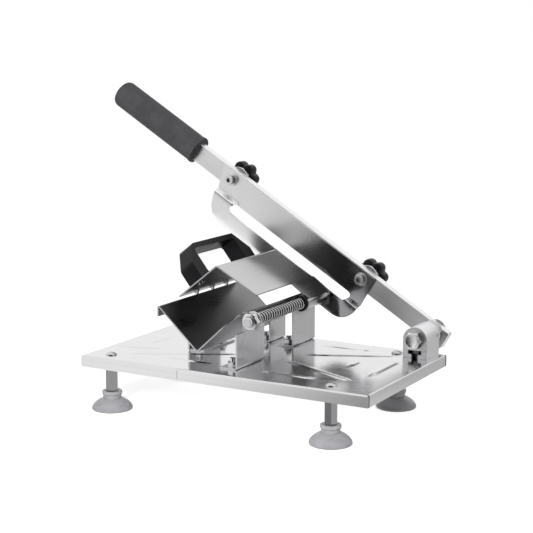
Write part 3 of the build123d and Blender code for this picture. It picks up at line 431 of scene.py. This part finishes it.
def moulding(name, first, second, rough, pebble, scale=900.0, **values):
    """A moulded plastic or rubber: a cloudy colour, uneven gloss and a fine pebble."""
    finish = Finish(name, **values)
    cloud = finish.noise(finish.place(), 55.0, 3.0)
    skin = finish.noise(finish.place(), scale, 2.0)
    finish.set(Base_Color=finish.tint(cloud.ramp(0.3, 0.7), first, second))
    finish.set(Roughness=cloud.ramp(0.3, 0.7, rough - 0.05, rough + 0.06))
    finish.bump(skin * pebble + cloud * 0.1)
    return finish


def slotted_head(centre, radius=6.2, crown=2.6, rim=0.5, slot=0.8, floor=1.2, steps=40, cuts=24):
    """Points and faces of a domed screw head that stands on a centre, in mm.

    Half the slot's width is given. It runs along X, and its walls are two lines a hair apart.
    """
    hair = 1e-3
    clear = 0.2
    lines = [math.cos(math.pi * step / steps) * radius for step in range(steps + 1)]
    lines = [line for line in lines if abs(abs(line) - slot) > clear]
    lines += [side * (slot + past) for side in (-1, 1) for past in (-hair, hair)]
    points = []
    for line in sorted(lines):
        half = math.sqrt(max(radius**2 - line**2, 0))
        row = [(-half, 0.0)]
        for cut in range(cuts + 1):
            along = -half * math.cos(math.pi * cut / cuts)
            dome = rim + (crown - rim) * math.sqrt(max(1 - (along**2 + line**2) / radius**2, 0))
            row.append((along, min(floor, dome) if abs(line) < slot else dome))
        row.append((half, 0.0))
        points += [Vector(centre) + Vector((along, line, level)) * mm for along, level in row]
    return points, joined(len(lines), cuts + 3)


foot_low, foot_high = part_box("foot_collars")
foot_centres = [
    (x, y, 0.0)
    for x in (foot_low.x + collar_radius, foot_high.x - collar_radius)
    for y in (foot_low.y + collar_radius, foot_high.y - collar_radius)
]
post_steel = steel("post_steel", (0.28, 0.28, 0.29), rough=0.08, grain=(0, 0, 1), brush=0.2)
dress("foot_posts", post_steel, edge=0.3 * mm)
screw_steel = steel("screw_steel", (0.62, 0.62, 0.63), rough=0.14, grain=(0, 0, 1), brush=0.2)
screw_forms = []
for x, y, _ in foot_centres:
    screw_forms.append(slotted_head((x, y, pan_top)))
    screw_forms.append(lathe(screw_shank, (x, y, pan_top), steps=screw_steps))
screws = piece_from(
    "foot_screws_domed", *gathered(screw_forms), screw_steel, "base", "plated_steel", "foot_screws"
)
clean_up(screws, sharp=40)
vinyl = moulding(
    "soft_vinyl", (0.26, 0.255, 0.27), (0.31, 0.305, 0.32), rough=0.3, pebble=0.05, Coat_Weight=0.3
)
cups = piece_from(
    "suction_cup_mouldings", *gathered(lathe(cup_profile, centre) for centre in foot_centres),
    vinyl, "base", "soft_vinyl", "suction_cups",
)
clean_up(cups, sharp=60)
collar_plastic = moulding(
    "collar_plastic", (0.30, 0.30, 0.31), (0.35, 0.35, 0.36), rough=0.35, pebble=0.04
)
collars = piece_from(
    "foot_collar_mouldings", *gathered(lathe(collar_profile, centre) for centre in foot_centres),
    collar_plastic, "base", "grey_plastic", "foot_collars",
)
clean_up(collars, sharp=50)

# Hinge block: a bar of satin alloy with an arched top and a T-slot along its foot. Two small
# hex bolts with their heads in the slot hold it down on the pan.
block_alloy = steel("satin_alloy", (0.84, 0.84, 0.85), rough=0.32, grain=(0, 1, 0), brush=0.4)
dress("hinge_block", block_alloy, edge=0.35 * mm)
bright_steel = steel("bright_steel", (0.72, 0.72, 0.73), rough=0.2, grain=(0, 1, 0), brush=0.2)
dark_steel = steel("dark_steel", (0.16, 0.16, 0.165), rough=0.28, grain=(0, 1, 0), brush=0.4)
dress("block_bolts", dark_steel, edge=0.12 * mm)
dress("block_nuts", bright_steel, edge=0.12 * mm)

# Stands: four brackets folded from stainless sheet, bolted to the pan by their feet. The
# outer ones lie behind the trough's lips and the inner one under its slope.
stand_steel = steel("stand_sheet", (0.70, 0.70, 0.71), rough=0.26, grain=(0, 0, 1), brush=0.15)
for stand in stands:
    dress(stand, stand_steel, edge=0.25 * mm)
dress("stand_bolts", bright_steel, edge=0.15 * mm)
dress("stand_nuts", bright_steel, edge=0.15 * mm)

# Trough: a V of folded stainless sheet that the meat lies in, with a lip along each rim and
# an ear at each end of the right rim for the feed rod.
# Painted shade: the trough's inner faces are darkened to a set tone.
trough_steel = steel(
    "trough_sheet", (0.55, 0.55, 0.56), rough=0.3, grain=(0, 1, 0), brush=0.2, wave=0.01,
    inside=1, painted_shade_tone=0.22,
)
dress("trough", trough_steel, edge=0.25 * mm)

# Feed rod: a ground steel rod with a bright threaded tip, painted dark past the tip as the
# shade that the spring casts on it. A washer and a hex nut with chamfered corners clamp it in
# the front ear, and it is riveted over behind the rear one.
rod_tip = 5 * mm
shade_past_tip_blur = 2 * mm
nut_flats = 17
nut_steps = 72
nut_profile = (
    (5.02, 8.0), (5.02, 0.7), (5.7, 0.0), (7.6, 0.0), (8.3, 0.3), (9.0, 0.75), (9.4, 1.1),
    (9.82, 1.6), (9.82, 7.2), (9.4, 7.5), (8.4, 8.0), (5.02, 8.0),
)
rod_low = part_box("feed_rod")[0]
rod_steel = steel("rod_steel", (0.16, 0.16, 0.165), rough=0.28, grain=(0, 1, 0), brush=0.4)
# Painted shade: the rod turns dark past its bright tip, where the spring shades it.
painted_shade_past_tip = rod_steel.coordinate("Y").ramp(rod_low.y + rod_tip, rod_low.y + rod_tip + shade_past_tip_blur)
rod_steel.set(Base_Color=rod_steel.tint(painted_shade_past_tip, (0.85, 0.85, 0.86), (0.16, 0.16, 0.165)))
dress("feed_rod", rod_steel, edge=0.2 * mm)
dress("rod_washer", bright_steel, edge=0.3 * mm)
nut_low, nut_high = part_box("rod_nut")
nut_at = ((nut_low.x + nut_high.x) / 2, nut_low.y, (nut_low.z + nut_high.z) / 2)
rod_nut = piece_from(
    "rod_nut_turned", *lathe(nut_profile, nut_at, (0, 1, 0), nut_steps, nut_flats),
    bright_steel, "base", "plated_steel", "rod_nut",
)
clean_up(rod_nut, sharp=25)

# Feed spring: bright spring wire wound round the rod, its end turns closed and each turn
# painted nearly black on its side towards the rod as shade.
spring_low, spring_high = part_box("feed_spring")
spring_turns = 21
closed_turns = 0.55
opening_turns = 0.8
spring_closed_pitch = 1.45
spring_wire = 0.65 * mm
spring_mean_radius = (spring_high.x - spring_low.x) / 2 - spring_wire
spring_steps = 36
spring_sides = 10


def coil():
    """Points and faces of the spring's wire, with closed turns at both ends."""
    centre = (spring_low + spring_high) / 2
    count = spring_turns * spring_steps
    turns = np.linspace(0, spring_turns, count + 1)
    from_end = (np.minimum(turns, spring_turns - turns) - closed_turns) / opening_turns
    from_end = np.clip(from_end, 0, 1)
    easing = from_end**2 * (3 - 2 * from_end)
    length = (spring_high.y - spring_low.y - 2 * spring_wire) / mm
    open_pitch = (length - spring_closed_pitch * spring_turns) / easing[1:].sum() * spring_steps
    climb = (spring_closed_pitch + open_pitch * easing[1:]) / spring_steps
    along = spring_low.y + spring_wire + np.concatenate([[0], np.cumsum(climb)]) * mm
    points = []
    for turn, y in zip(turns * 2 * math.pi, along):
        outwards = Vector((math.cos(turn), 0, math.sin(turn)))
        axis = Vector((centre.x, y, centre.z)) + outwards * spring_mean_radius
        for side in range(spring_sides):
            lean = 2 * math.pi * side / spring_sides
            offset = outwards * math.cos(lean) + Vector((0, 1, 0)) * math.sin(lean)
            points.append(axis + offset * spring_wire)
    ends = [[ring * spring_sides + side for side in range(spring_sides)] for ring in (0, count)]
    return points, joined(count + 1, spring_sides) + ends


spring_steel = steel("spring_wire", (0.80, 0.80, 0.81), rough=0.25, grain=(0, 1, 0), brush=0.2)
# Painted shade: the wire darkens to nearly black on its side towards the rod.
off_x = spring_steel.coordinate("X") - (spring_low.x + spring_high.x) / 2
off_z = spring_steel.coordinate("Z") - (spring_low.z + spring_high.z) / 2
from_rod = (off_x * off_x + off_z * off_z).maths("SQRT")
outside = from_rod.ramp(spring_mean_radius, spring_mean_radius + 0.8 * spring_wire)
spring_steel.set(Base_Color=spring_steel.tint(outside, (0.02, 0.02, 0.02), (0.85, 0.85, 0.86)))
spring = piece_from("feed_spring_wire", *coil(), spring_steel, "base", "spring_steel", "feed_spring")
clean_up(spring, sharp=60)
joints = {joint["name"]: joint for joint in frame["record"]["behaviour"]["joints"]}
slide_travel = joints["pusher_slide"]["range_m"][1]
1 - slide_travel / (spring_high.y - spring_low.y)
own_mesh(spring)

# Slide: a turned steel tube that runs on the rod, with a black plastic ring pressed on its
# front for the spring to push against.
turned_steel = steel("turned_steel", (0.55, 0.55, 0.56), rough=0.2, grain=(0, 1, 0), brush=0.4)
dress("slide_sleeve", turned_steel, edge=0.2 * mm)
knob_plastic = moulding(
    "knob_plastic", (0.003, 0.003, 0.004), (0.006, 0.006, 0.007),
    rough=0.26, pebble=0.04, scale=700.0, Specular_IOR_Level=0.2,
)
dress("spring_ring", knob_plastic, edge=0.3 * mm)

# Pusher hood: a roof of folded stainless sheet over the trough, with three teeth inside its
# left edge that grip the meat. Its tab is welded to a tube that turns on the slide.
# Painted shade: the hood's underside is darkened to a set tone.
hood_steel = steel(
    "hood_sheet", (0.58, 0.58, 0.59), rough=0.17, grain=(0, 1, 0), brush=0.2, wave=0.02,
    inside=-1, painted_shade_tone=0.12,
)
dress("pusher_hood", hood_steel, edge=0.25 * mm)
dress("hood_tube", turned_steel, edge=0.2 * mm)

# Pusher handle: a loop for the fingers, moulded from black plastic with well rounded edges
# and held on the hood by two screws from inside.
handle_plastic = moulding(
    "handle_plastic", (0.003, 0.003, 0.004), (0.007, 0.007, 0.008),
    rough=0.36, pebble=0.1, scale=1100.0, Specular_IOR_Level=0.15,
)
dress("pusher_handle", handle_plastic, edge=1.4 * mm, segments=4)
dress("handle_screws", bright_steel, edge=0.15 * mm)

# Lever arm: a flat bar of satin steel on the pivot, drilled for the two blade screws. A
# turned bush lines its pivot hole.
pivot = Vector(joints["arm_swing"]["pos_m"])
toward_grip = Vector(joints["left_knob_turn"]["pos_m"]) - pivot
toward_grip.y = 0
toward_grip.normalize()
up_square = Vector((toward_grip.z, 0, -toward_grip.x))
arm_steel = steel("satin_bar", (0.93, 0.93, 0.94), rough=0.38, grain=toward_grip, brush=0.4)
dress("blade_arm", arm_steel, edge=0.3 * mm)
dress("arm_bush", turned_steel, edge=0.15 * mm)


def on_arm(along, up, y):
    """A point by its distance from the pivot and its height square to the arm, in mm, and its depth."""
    flat = Vector((pivot.x, y, pivot.z))
    return flat + (toward_grip * along + up_square * up) * mm


# Grip: a sleeve of black foam, pushed over the arm's end. Its far end is closed and softly
# rounded, and its mouth has a thin rolled lip.
grip_steps = 96
grip_lift = 1
grip_profile = (
    (0.0, 357.2), (13.0, 356.6), (15.6, 356.0), (16.6, 356.3), (17.0, 357.2), (17.0, 359.0),
    (16.7, 360.2), (16.3, 361.2), (16.3, 364.0), (16.4, 380.0), (16.4, 420.0), (16.4, 460.0),
    (16.4, 477.8), (15.9, 480.3), (14.7, 482.2), (12.8, 483.4), (10.5, 483.9), (5.0, 483.9),
    (0.0, 483.9),
)
arm_low, arm_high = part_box("blade_arm")
grip_centre = on_arm(0, grip_lift, (arm_low.y + arm_high.y) / 2)
foam = moulding(
    "black_foam", (0.050, 0.050, 0.053), (0.068, 0.068, 0.072),
    rough=0.6, pebble=0.22, scale=1300.0, Specular_IOR_Level=0.15,
)
grip = piece_from(
    "grip_sleeve", *lathe(grip_profile, grip_centre, toward_grip, grip_steps),
    foam, "arm", "black_foam", "arm_grip",
)
clean_up(grip, sharp=60)

# Blade: one sheet of steel with a long slot, its upper strip flat on the arm. Past the slot
# both ends are pressed forward to the lower strip, whose edge is ground. It is polished to a
# mirror near the pivot and brushed to a satin towards the grip, and its colour is painted
# darker towards the pivot as a painted reflection of dark surroundings.
blade_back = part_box("slicing_blade")[1].y
blade_corners = ((85, -10, 2), (316, -10, 2), (300, 50.3, 24), (127, 54, 60), (85, 54, 24))
slot_corners = ((101, 21.5, 5.25), (281, 21.5, 5.25), (281, 32, 5.25), (101, 32, 5.25))
slot_ends = (106.25, 275.75)
slot_middle = 26.75
blade_step = 7
blade_sheet = 2
left_fold = (18.9, 23.2)
right_fold = (26.4, 31.8)
left_ease = 5
fold_cuts = 8
end_cuts = 4
ground_width = 5
ground_cuts = 2
ground_share = 0.2


def rounded_outline(corners, steps=14):
    """A closed outline through (x, y, radius) corners, each turned by an arc."""
    outline = []
    for index, (x, y, radius) in enumerate(corners):
        here = complex(x, y)
        before = complex(*corners[index - 1][:2]) - here
        after = complex(*corners[(index + 1) % len(corners)][:2]) - here
        before /= abs(before)
        after /= abs(after)
        half = abs(cmath.phase(after / before)) / 2
        centre = here + (before + after) / abs(before + after) * radius / math.sin(half)
        start = here + before * radius / math.tan(half) - centre
        turn = cmath.phase((here + after * radius / math.tan(half) - centre) / start)
        outline += [centre + start * cmath.exp(1j * turn * step / steps) for step in range(steps + 1)]
    return outline


def smooth(value, start, end):
    """A smooth rise from 0 at start to 1 at end."""
    share = min(max((value - start) / (end - start), 0), 1)
    return share * share * (3 - 2 * share)


def forward(along, down):
    """How far the blade stands forward of its upper strip, in mm."""
    if along > slot_ends[1]:
        if down > slot_middle:
            return blade_step
        eased = smooth(along, slot_ends[1], slot_ends[1] + left_ease)
        return blade_step * smooth(down, *left_fold) * eased
    if along < slot_ends[0]:
        return blade_step * smooth(down, *right_fold)
    return blade_step if down > slot_middle else 0


def blade_blank():
    """The blade's back face laid out flat, cut along its folds and its ground edge."""
    blank = bmesh.new()
    for corners in (blade_corners, slot_corners):
        ring = [blank.verts.new((point.real, point.imag, 0)) for point in rounded_outline(corners)]
        for here, after in zip(ring, ring[1:] + ring[:1]):
            blank.edges.new((here, after))
    bmesh.ops.remove_doubles(blank, verts=blank.verts, dist=1e-4)
    bmesh.ops.triangle_fill(blank, use_beauty=True, edges=blank.edges)
    toe, heel = (Vector((*blade_corners[corner][:2], 0)) for corner in (2, 3))
    edge_run = toe - heel
    into_blade = Vector((edge_run.y, -edge_run.x, 0)).normalized()
    cuts = [
        ((0, low + (high - low) * cut / fold_cuts, 0), (0, 1, 0))
        for low, high in (left_fold, right_fold)
        for cut in range(fold_cuts + 1)
    ]
    cuts += [((slot_ends[0], 0, 0), (1, 0, 0))]
    cuts += [
        ((slot_ends[1] + left_ease * cut / end_cuts, 0, 0), (1, 0, 0)) for cut in range(end_cuts + 1)
    ]
    cuts += [((0, slot_middle, 0), (0, 1, 0))]
    cuts += [
        (heel + into_blade * ground_width * cut / ground_cuts, into_blade)
        for cut in range(1, ground_cuts + 1)
    ]
    for place, square in cuts:
        whole = blank.verts[:] + blank.edges[:] + blank.faces[:]
        bmesh.ops.bisect_plane(blank, geom=whole, dist=1e-5, plane_co=place, plane_no=square)
    shares = [
        min(ground_share + (1 - ground_share) * (vert.co - heel).dot(into_blade) / ground_width, 1)
        for vert in blank.verts
    ]
    points = [
        on_arm(vert.co.x, -vert.co.y, blade_back - forward(vert.co.x, vert.co.y) * mm)
        for vert in blank.verts
    ]
    blank.verts.index_update()
    faces = [tuple(vert.index for vert in face.verts) for face in blank.faces]
    blank.free()
    return points, faces, shares


blade_steel = steel(
    "blade_steel", (0.93, 0.93, 0.94), rough=0.19, grain=toward_grip, brush=0.2, wave=0.01,
)
along_blade = blade_steel.coordinate("X") * toward_grip.x + blade_steel.coordinate("Z") * toward_grip.z
from_pivot = along_blade - pivot.dot(toward_grip) + blade_steel.noise(blade_steel.place(), 30.0) * 0.02
blade_steel.set(Roughness=from_pivot.ramp(150 * mm, 210 * mm, 0.12, 0.34))
# Painted reflection: the blade's colour darkens towards the pivot.
reflection_paint_share = from_pivot.ramp(130 * mm, 200 * mm)
blade_steel.set(Base_Color=blade_steel.tint(reflection_paint_share, (0.40, 0.40, 0.41), (0.98, 0.98, 0.99)))
blade_points, blade_faces, blade_shares = blade_blank()
blade = piece_from(
    "blade_sheet", blade_points, blade_faces, blade_steel, "arm", "blade_steel", "slicing_blade"
)
if sum(face.normal.y * face.area for face in blade.data.polygons) > 0:
    blade.data.flip_normals()
ground = blade.vertex_groups.new(name="ground")
for index, share in enumerate(blade_shares):
    ground.add([index], share, "REPLACE")
blade.data.shade_smooth()
thickened(blade, blade_sheet * mm, side=1).vertex_group = ground.name
rounded_edges(blade, 0.14 * mm, angle=50)
flat_faces(blade)

# Blade screws: socket-head screws with plain washers. Each runs through the blade, the arm
# and a turned collar into its knob.
plated = steel("plated", (0.88, 0.88, 0.89), rough=0.3, grain=(0, 1, 0), brush=0.3)
dress("blade_screws", bright_steel, edge=0.3 * mm)
dress("blade_washers", plated, edge=0.3 * mm)
dress("knob_collars", turned_steel, edge=0.4 * mm)

# Star knobs: black moulded plastic with seven lobes, one behind each blade screw, each with
# a steel insert moulded into its face.
knob_core = 15.9
lobe_circle = 13.3
lobe_radius = 6.2
valley_sharpness = 24
knob_lobes = 7
knob_steps = 24
insert_radius = 5.5
knob_rings = (
    (0, 0, 9.9), (insert_radius, 0, 9.9), (insert_radius, 0, 0.4), (insert_radius + 0.4, 0, 0.0),
    (9.0, 0, 0.0), (-2.6, 1, 0.0), (-1.3, 1, 0.35), (-0.4, 1, 1.2), (0, 1, 2.6), (0, 1, 7.0),
    (0, 1, 11.4), (-0.35, 1, 12.9), (-1.2, 1, 14.0), (-2.6, 1, 14.7), (-4.6, 1, 15.0), (9.6, 0, 15.0),
    (8.8, 0, 14.6), (8.0, 0, 14.3), (0, 0, 14.3),
)


def lobed(turn):
    """The knob's outer radius at an angle."""
    step = 2 * math.pi / knob_lobes
    from_lobe = (turn + step / 2) % step - step / 2
    beside = lobe_circle * math.sin(from_lobe)
    lobe = 0
    if abs(beside) < lobe_radius:
        lobe = lobe_circle * math.cos(from_lobe) + math.sqrt(lobe_radius**2 - beside**2)
    return (lobe**valley_sharpness + knob_core**valley_sharpness) ** (1 / valley_sharpness)


def star_knob(side):
    """Points and faces of the knob on one side, turned out along its joint's axis."""
    at = Vector(joints[f"{side}_knob_turn"]["pos_m"])
    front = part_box(f"star_knob_{side}")[0].y
    count = knob_lobes * knob_steps
    points = []
    for offset, lobed_share, depth in knob_rings:
        for turn in (2 * math.pi * step / count for step in range(count)):
            radius = (offset + lobed_share * lobed(turn)) * mm
            outwards = toward_grip * math.cos(turn) + up_square * math.sin(turn)
            points.append(Vector((at.x, front + depth * mm, at.z)) + outwards * radius)
    return points, joined(len(knob_rings), count)


for side in ("left", "right"):
    knob = piece_from(
        f"{side}_knob_moulding", *star_knob(side),
        knob_plastic, f"{side}_knob", "knob_plastic", f"star_knob_{side}",
    )
    clean_up(knob, sharp=50)
    dress(f"knob_insert_{side}", bright_steel, edge=0.1 * mm)

# Pivot: a plated hex bolt, its head dished and chamfered, through the block, a turned spacer
# and the arm. A washer and a lock nut hold it behind.
bolt_low, bolt_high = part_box("pivot_bolt")
bolt_length = (bolt_high.y - bolt_low.y) / mm
bolt_profile = (
    (0.0, 0.55), (5.4, 0.55), (6.0, 0.4), (6.5, 0.1), (7.0, 0.0), (7.8, 0.0), (8.3, 0.3),
    (9.0, 0.75), (9.4, 1.1), (9.82, 1.6), (9.82, 6.4), (5.0, 6.4), (5.0, bolt_length - 0.8),
    (4.2, bolt_length), (0.0, bolt_length),
)
bolt_at = (pivot.x, bolt_low.y, pivot.z)
pivot_bolt = piece_from(
    "pivot_bolt_turned", *lathe(bolt_profile, bolt_at, (0, 1, 0), nut_steps, nut_flats),
    plated, "base", "plated_steel", "pivot_bolt",
)
clean_up(pivot_bolt, sharp=25)
dress("pivot_washers", bright_steel, edge=0.15 * mm)
dress("pivot_spacer", turned_steel, edge=0.15 * mm)
dress("pivot_nut", bright_steel, edge=0.2 * mm)

# Stage: a white paper floor that keeps a faint shadow, and a white surround. Polished metal
# also sees a dark card in front and a grey wall behind on the right, as in a small studio.
floor_reach = 3.0
wall_x = 0.49
wall_y = 0.87
card_turn = 0.2407
card_slope = 1.586
floor_corners = [(x, y, 0) for x, y in ((-1, -1), (1, -1), (1, 1), (-1, 1))]
floor_mesh = bpy.data.meshes.new("floor")
floor_mesh.from_pydata([Vector(corner) * floor_reach for corner in floor_corners], [], [(0, 1, 2, 3)])
floor = bpy.data.objects.new("floor", floor_mesh)
bpy.context.scene.collection.objects.link(floor)
paper_white = (0.80, 0.80, 0.80)
pure_white = (1.0, 1.0, 1.0)
paper = Finish("white_paper", Base_Color=paper_white, Roughness=0.9)
paper.set(Specular_IOR_Level=0.0, Emission_Color=pure_white, Emission_Strength=0.72)
floor_mesh.materials.append(paper.material)
floor_x, floor_y = paper.coordinate("X"), paper.coordinate("Y")
far = (floor_x * floor_x + floor_y * floor_y).ramp(0.25, 0.7)
in_front = (floor_x * 0.35 - floor_y).ramp(0.34, 0.5)
beside = (floor_x - floor_y * 0.3).ramp(-0.05, 0.42)
away = far.maths("MAXIMUM", in_front.maths("MAXIMUM", beside))
rear_right = (floor_x * wall_x + floor_y * wall_y).ramp(0.1, 0.3)
mirrored_tone = paper.tint(rear_right, pure_white, (0.5, 0.5, 0.5))
matt = paper.node("BsdfDiffuse", None, {"Color": paper_white})
pure = paper.node("Emission", None, {"Color": pure_white, "Strength": 1.0})
mirrored = paper.node("Emission", None, {"Color": mirrored_tone, "Strength": 1.0})
through = paper.node("BsdfTransparent")
plain = paper.node("MixShader", None, {0: far, 1: Signal(paper, paper.shader.outputs[0]), 2: pure})
polished = paper.node("MixShader", None, {0: away, 1: mirrored, 2: through})
in_view = paper.node("LightPath", output="Is Camera Ray")
is_glossy = paper.node("LightPath", output="Is Glossy Ray")
direct = paper.node("MixShader", None, {0: in_view, 1: matt, 2: plain})
floor_look = paper.node("MixShader", None, {0: is_glossy, 1: direct, 2: polished})
paper.feed(paper.tree.nodes["Material Output"].inputs["Surface"], floor_look)


class Surround(Finish):
    """The world's nodes, made in the same way as a finish."""

    def __init__(self, world):
        world.use_nodes = True
        self.tree = world.node_tree
        self.tree.nodes.clear()
        self.end = self.tree.nodes.new("ShaderNodeOutputWorld")


world = bpy.data.worlds.new("studio")
bpy.context.scene.world = world
studio = Surround(world)
to_right, to_back, upward = (studio.coordinate(axis, "Generated") for axis in "XYZ")
ahead = to_back.ramp(-0.2, -0.45)
low_card = (to_right - to_back * card_turn - upward * card_slope).ramp(-0.09, 0.04)
high_card = (to_right - to_back * 0.4).ramp(-0.06, 0.06) * upward.ramp(-0.05, 0.02)
cards = low_card.maths("MAXIMUM", high_card)
card = ahead * cards * upward.ramp(0.8, 0.6) * (to_right + to_back * 1.7).ramp(0.1, -0.1)
wall = (to_right * wall_x + to_back * wall_y).ramp(0.75, 0.95) * upward.ramp(0.5, 0.1)
brightness = (1.0 - card * 0.97) * (1.0 - wall * 0.45)
seen_tone = studio.tint(brightness, (0.0, 0.0, 0.0), pure_white)
white = studio.node("Background", None, {"Color": pure_white, "Strength": 1.0})
seen = studio.node("Background", None, {"Color": seen_tone, "Strength": 1.0})
lit = studio.node("Background", None, {"Color": pure_white, "Strength": 0.12})
in_view = studio.node("LightPath", output="Is Camera Ray")
is_glossy = studio.node("LightPath", output="Is Glossy Ray")
direct = studio.node("MixShader", None, {0: is_glossy, 1: lit, 2: seen})
surround = studio.node("MixShader", None, {0: in_view, 1: direct, 2: white})
studio.feed(studio.end.inputs["Surface"], surround)

# Lamps: three soft panels at a plain level. They light the plastics and the floor and stay out
# of the reflections.
aimed_at = Vector((0, 0, 0.1))
for name, place, size, power in (
    ("key_lamp", (0.4, -1.5, 0.9), 0.5, 34),
    ("fill_lamp", (1.1, -0.5, 0.9), 0.8, 4),
    ("back_lamp", (0.2, 1.2, 1.0), 0.8, 6),
):
    panel = bpy.data.lights.new(name, "AREA")
    panel.size = size
    panel.energy = power
    lamp = bpy.data.objects.new(name, panel)
    lamp.location = place
    lamp.rotation_euler = (aimed_at - Vector(place)).to_track_quat("-Z", "Y").to_euler()
    lamp.visible_glossy = False
    bpy.context.scene.collection.objects.link(lamp)

# Camera: a short telephoto at the photograph's angle, a little above the machine and to the
# right of its front. Its place and turn were fitted to the base's corners.
camera = bpy.data.objects.new("camera", bpy.data.cameras.new("camera"))
camera.location = (0.7968, -1.3479, 0.4248)
camera.rotation_euler = (math.radians(80.10), math.radians(-0.10), math.radians(29.32))
camera.data.lens = 96.86
camera.data.sensor_width = 36
camera.data.clip_start = 0.05
bpy.context.scene.collection.objects.link(camera)
bpy.context.scene.camera = camera
bpy.context.scene.view_settings.view_transform = "Standard"
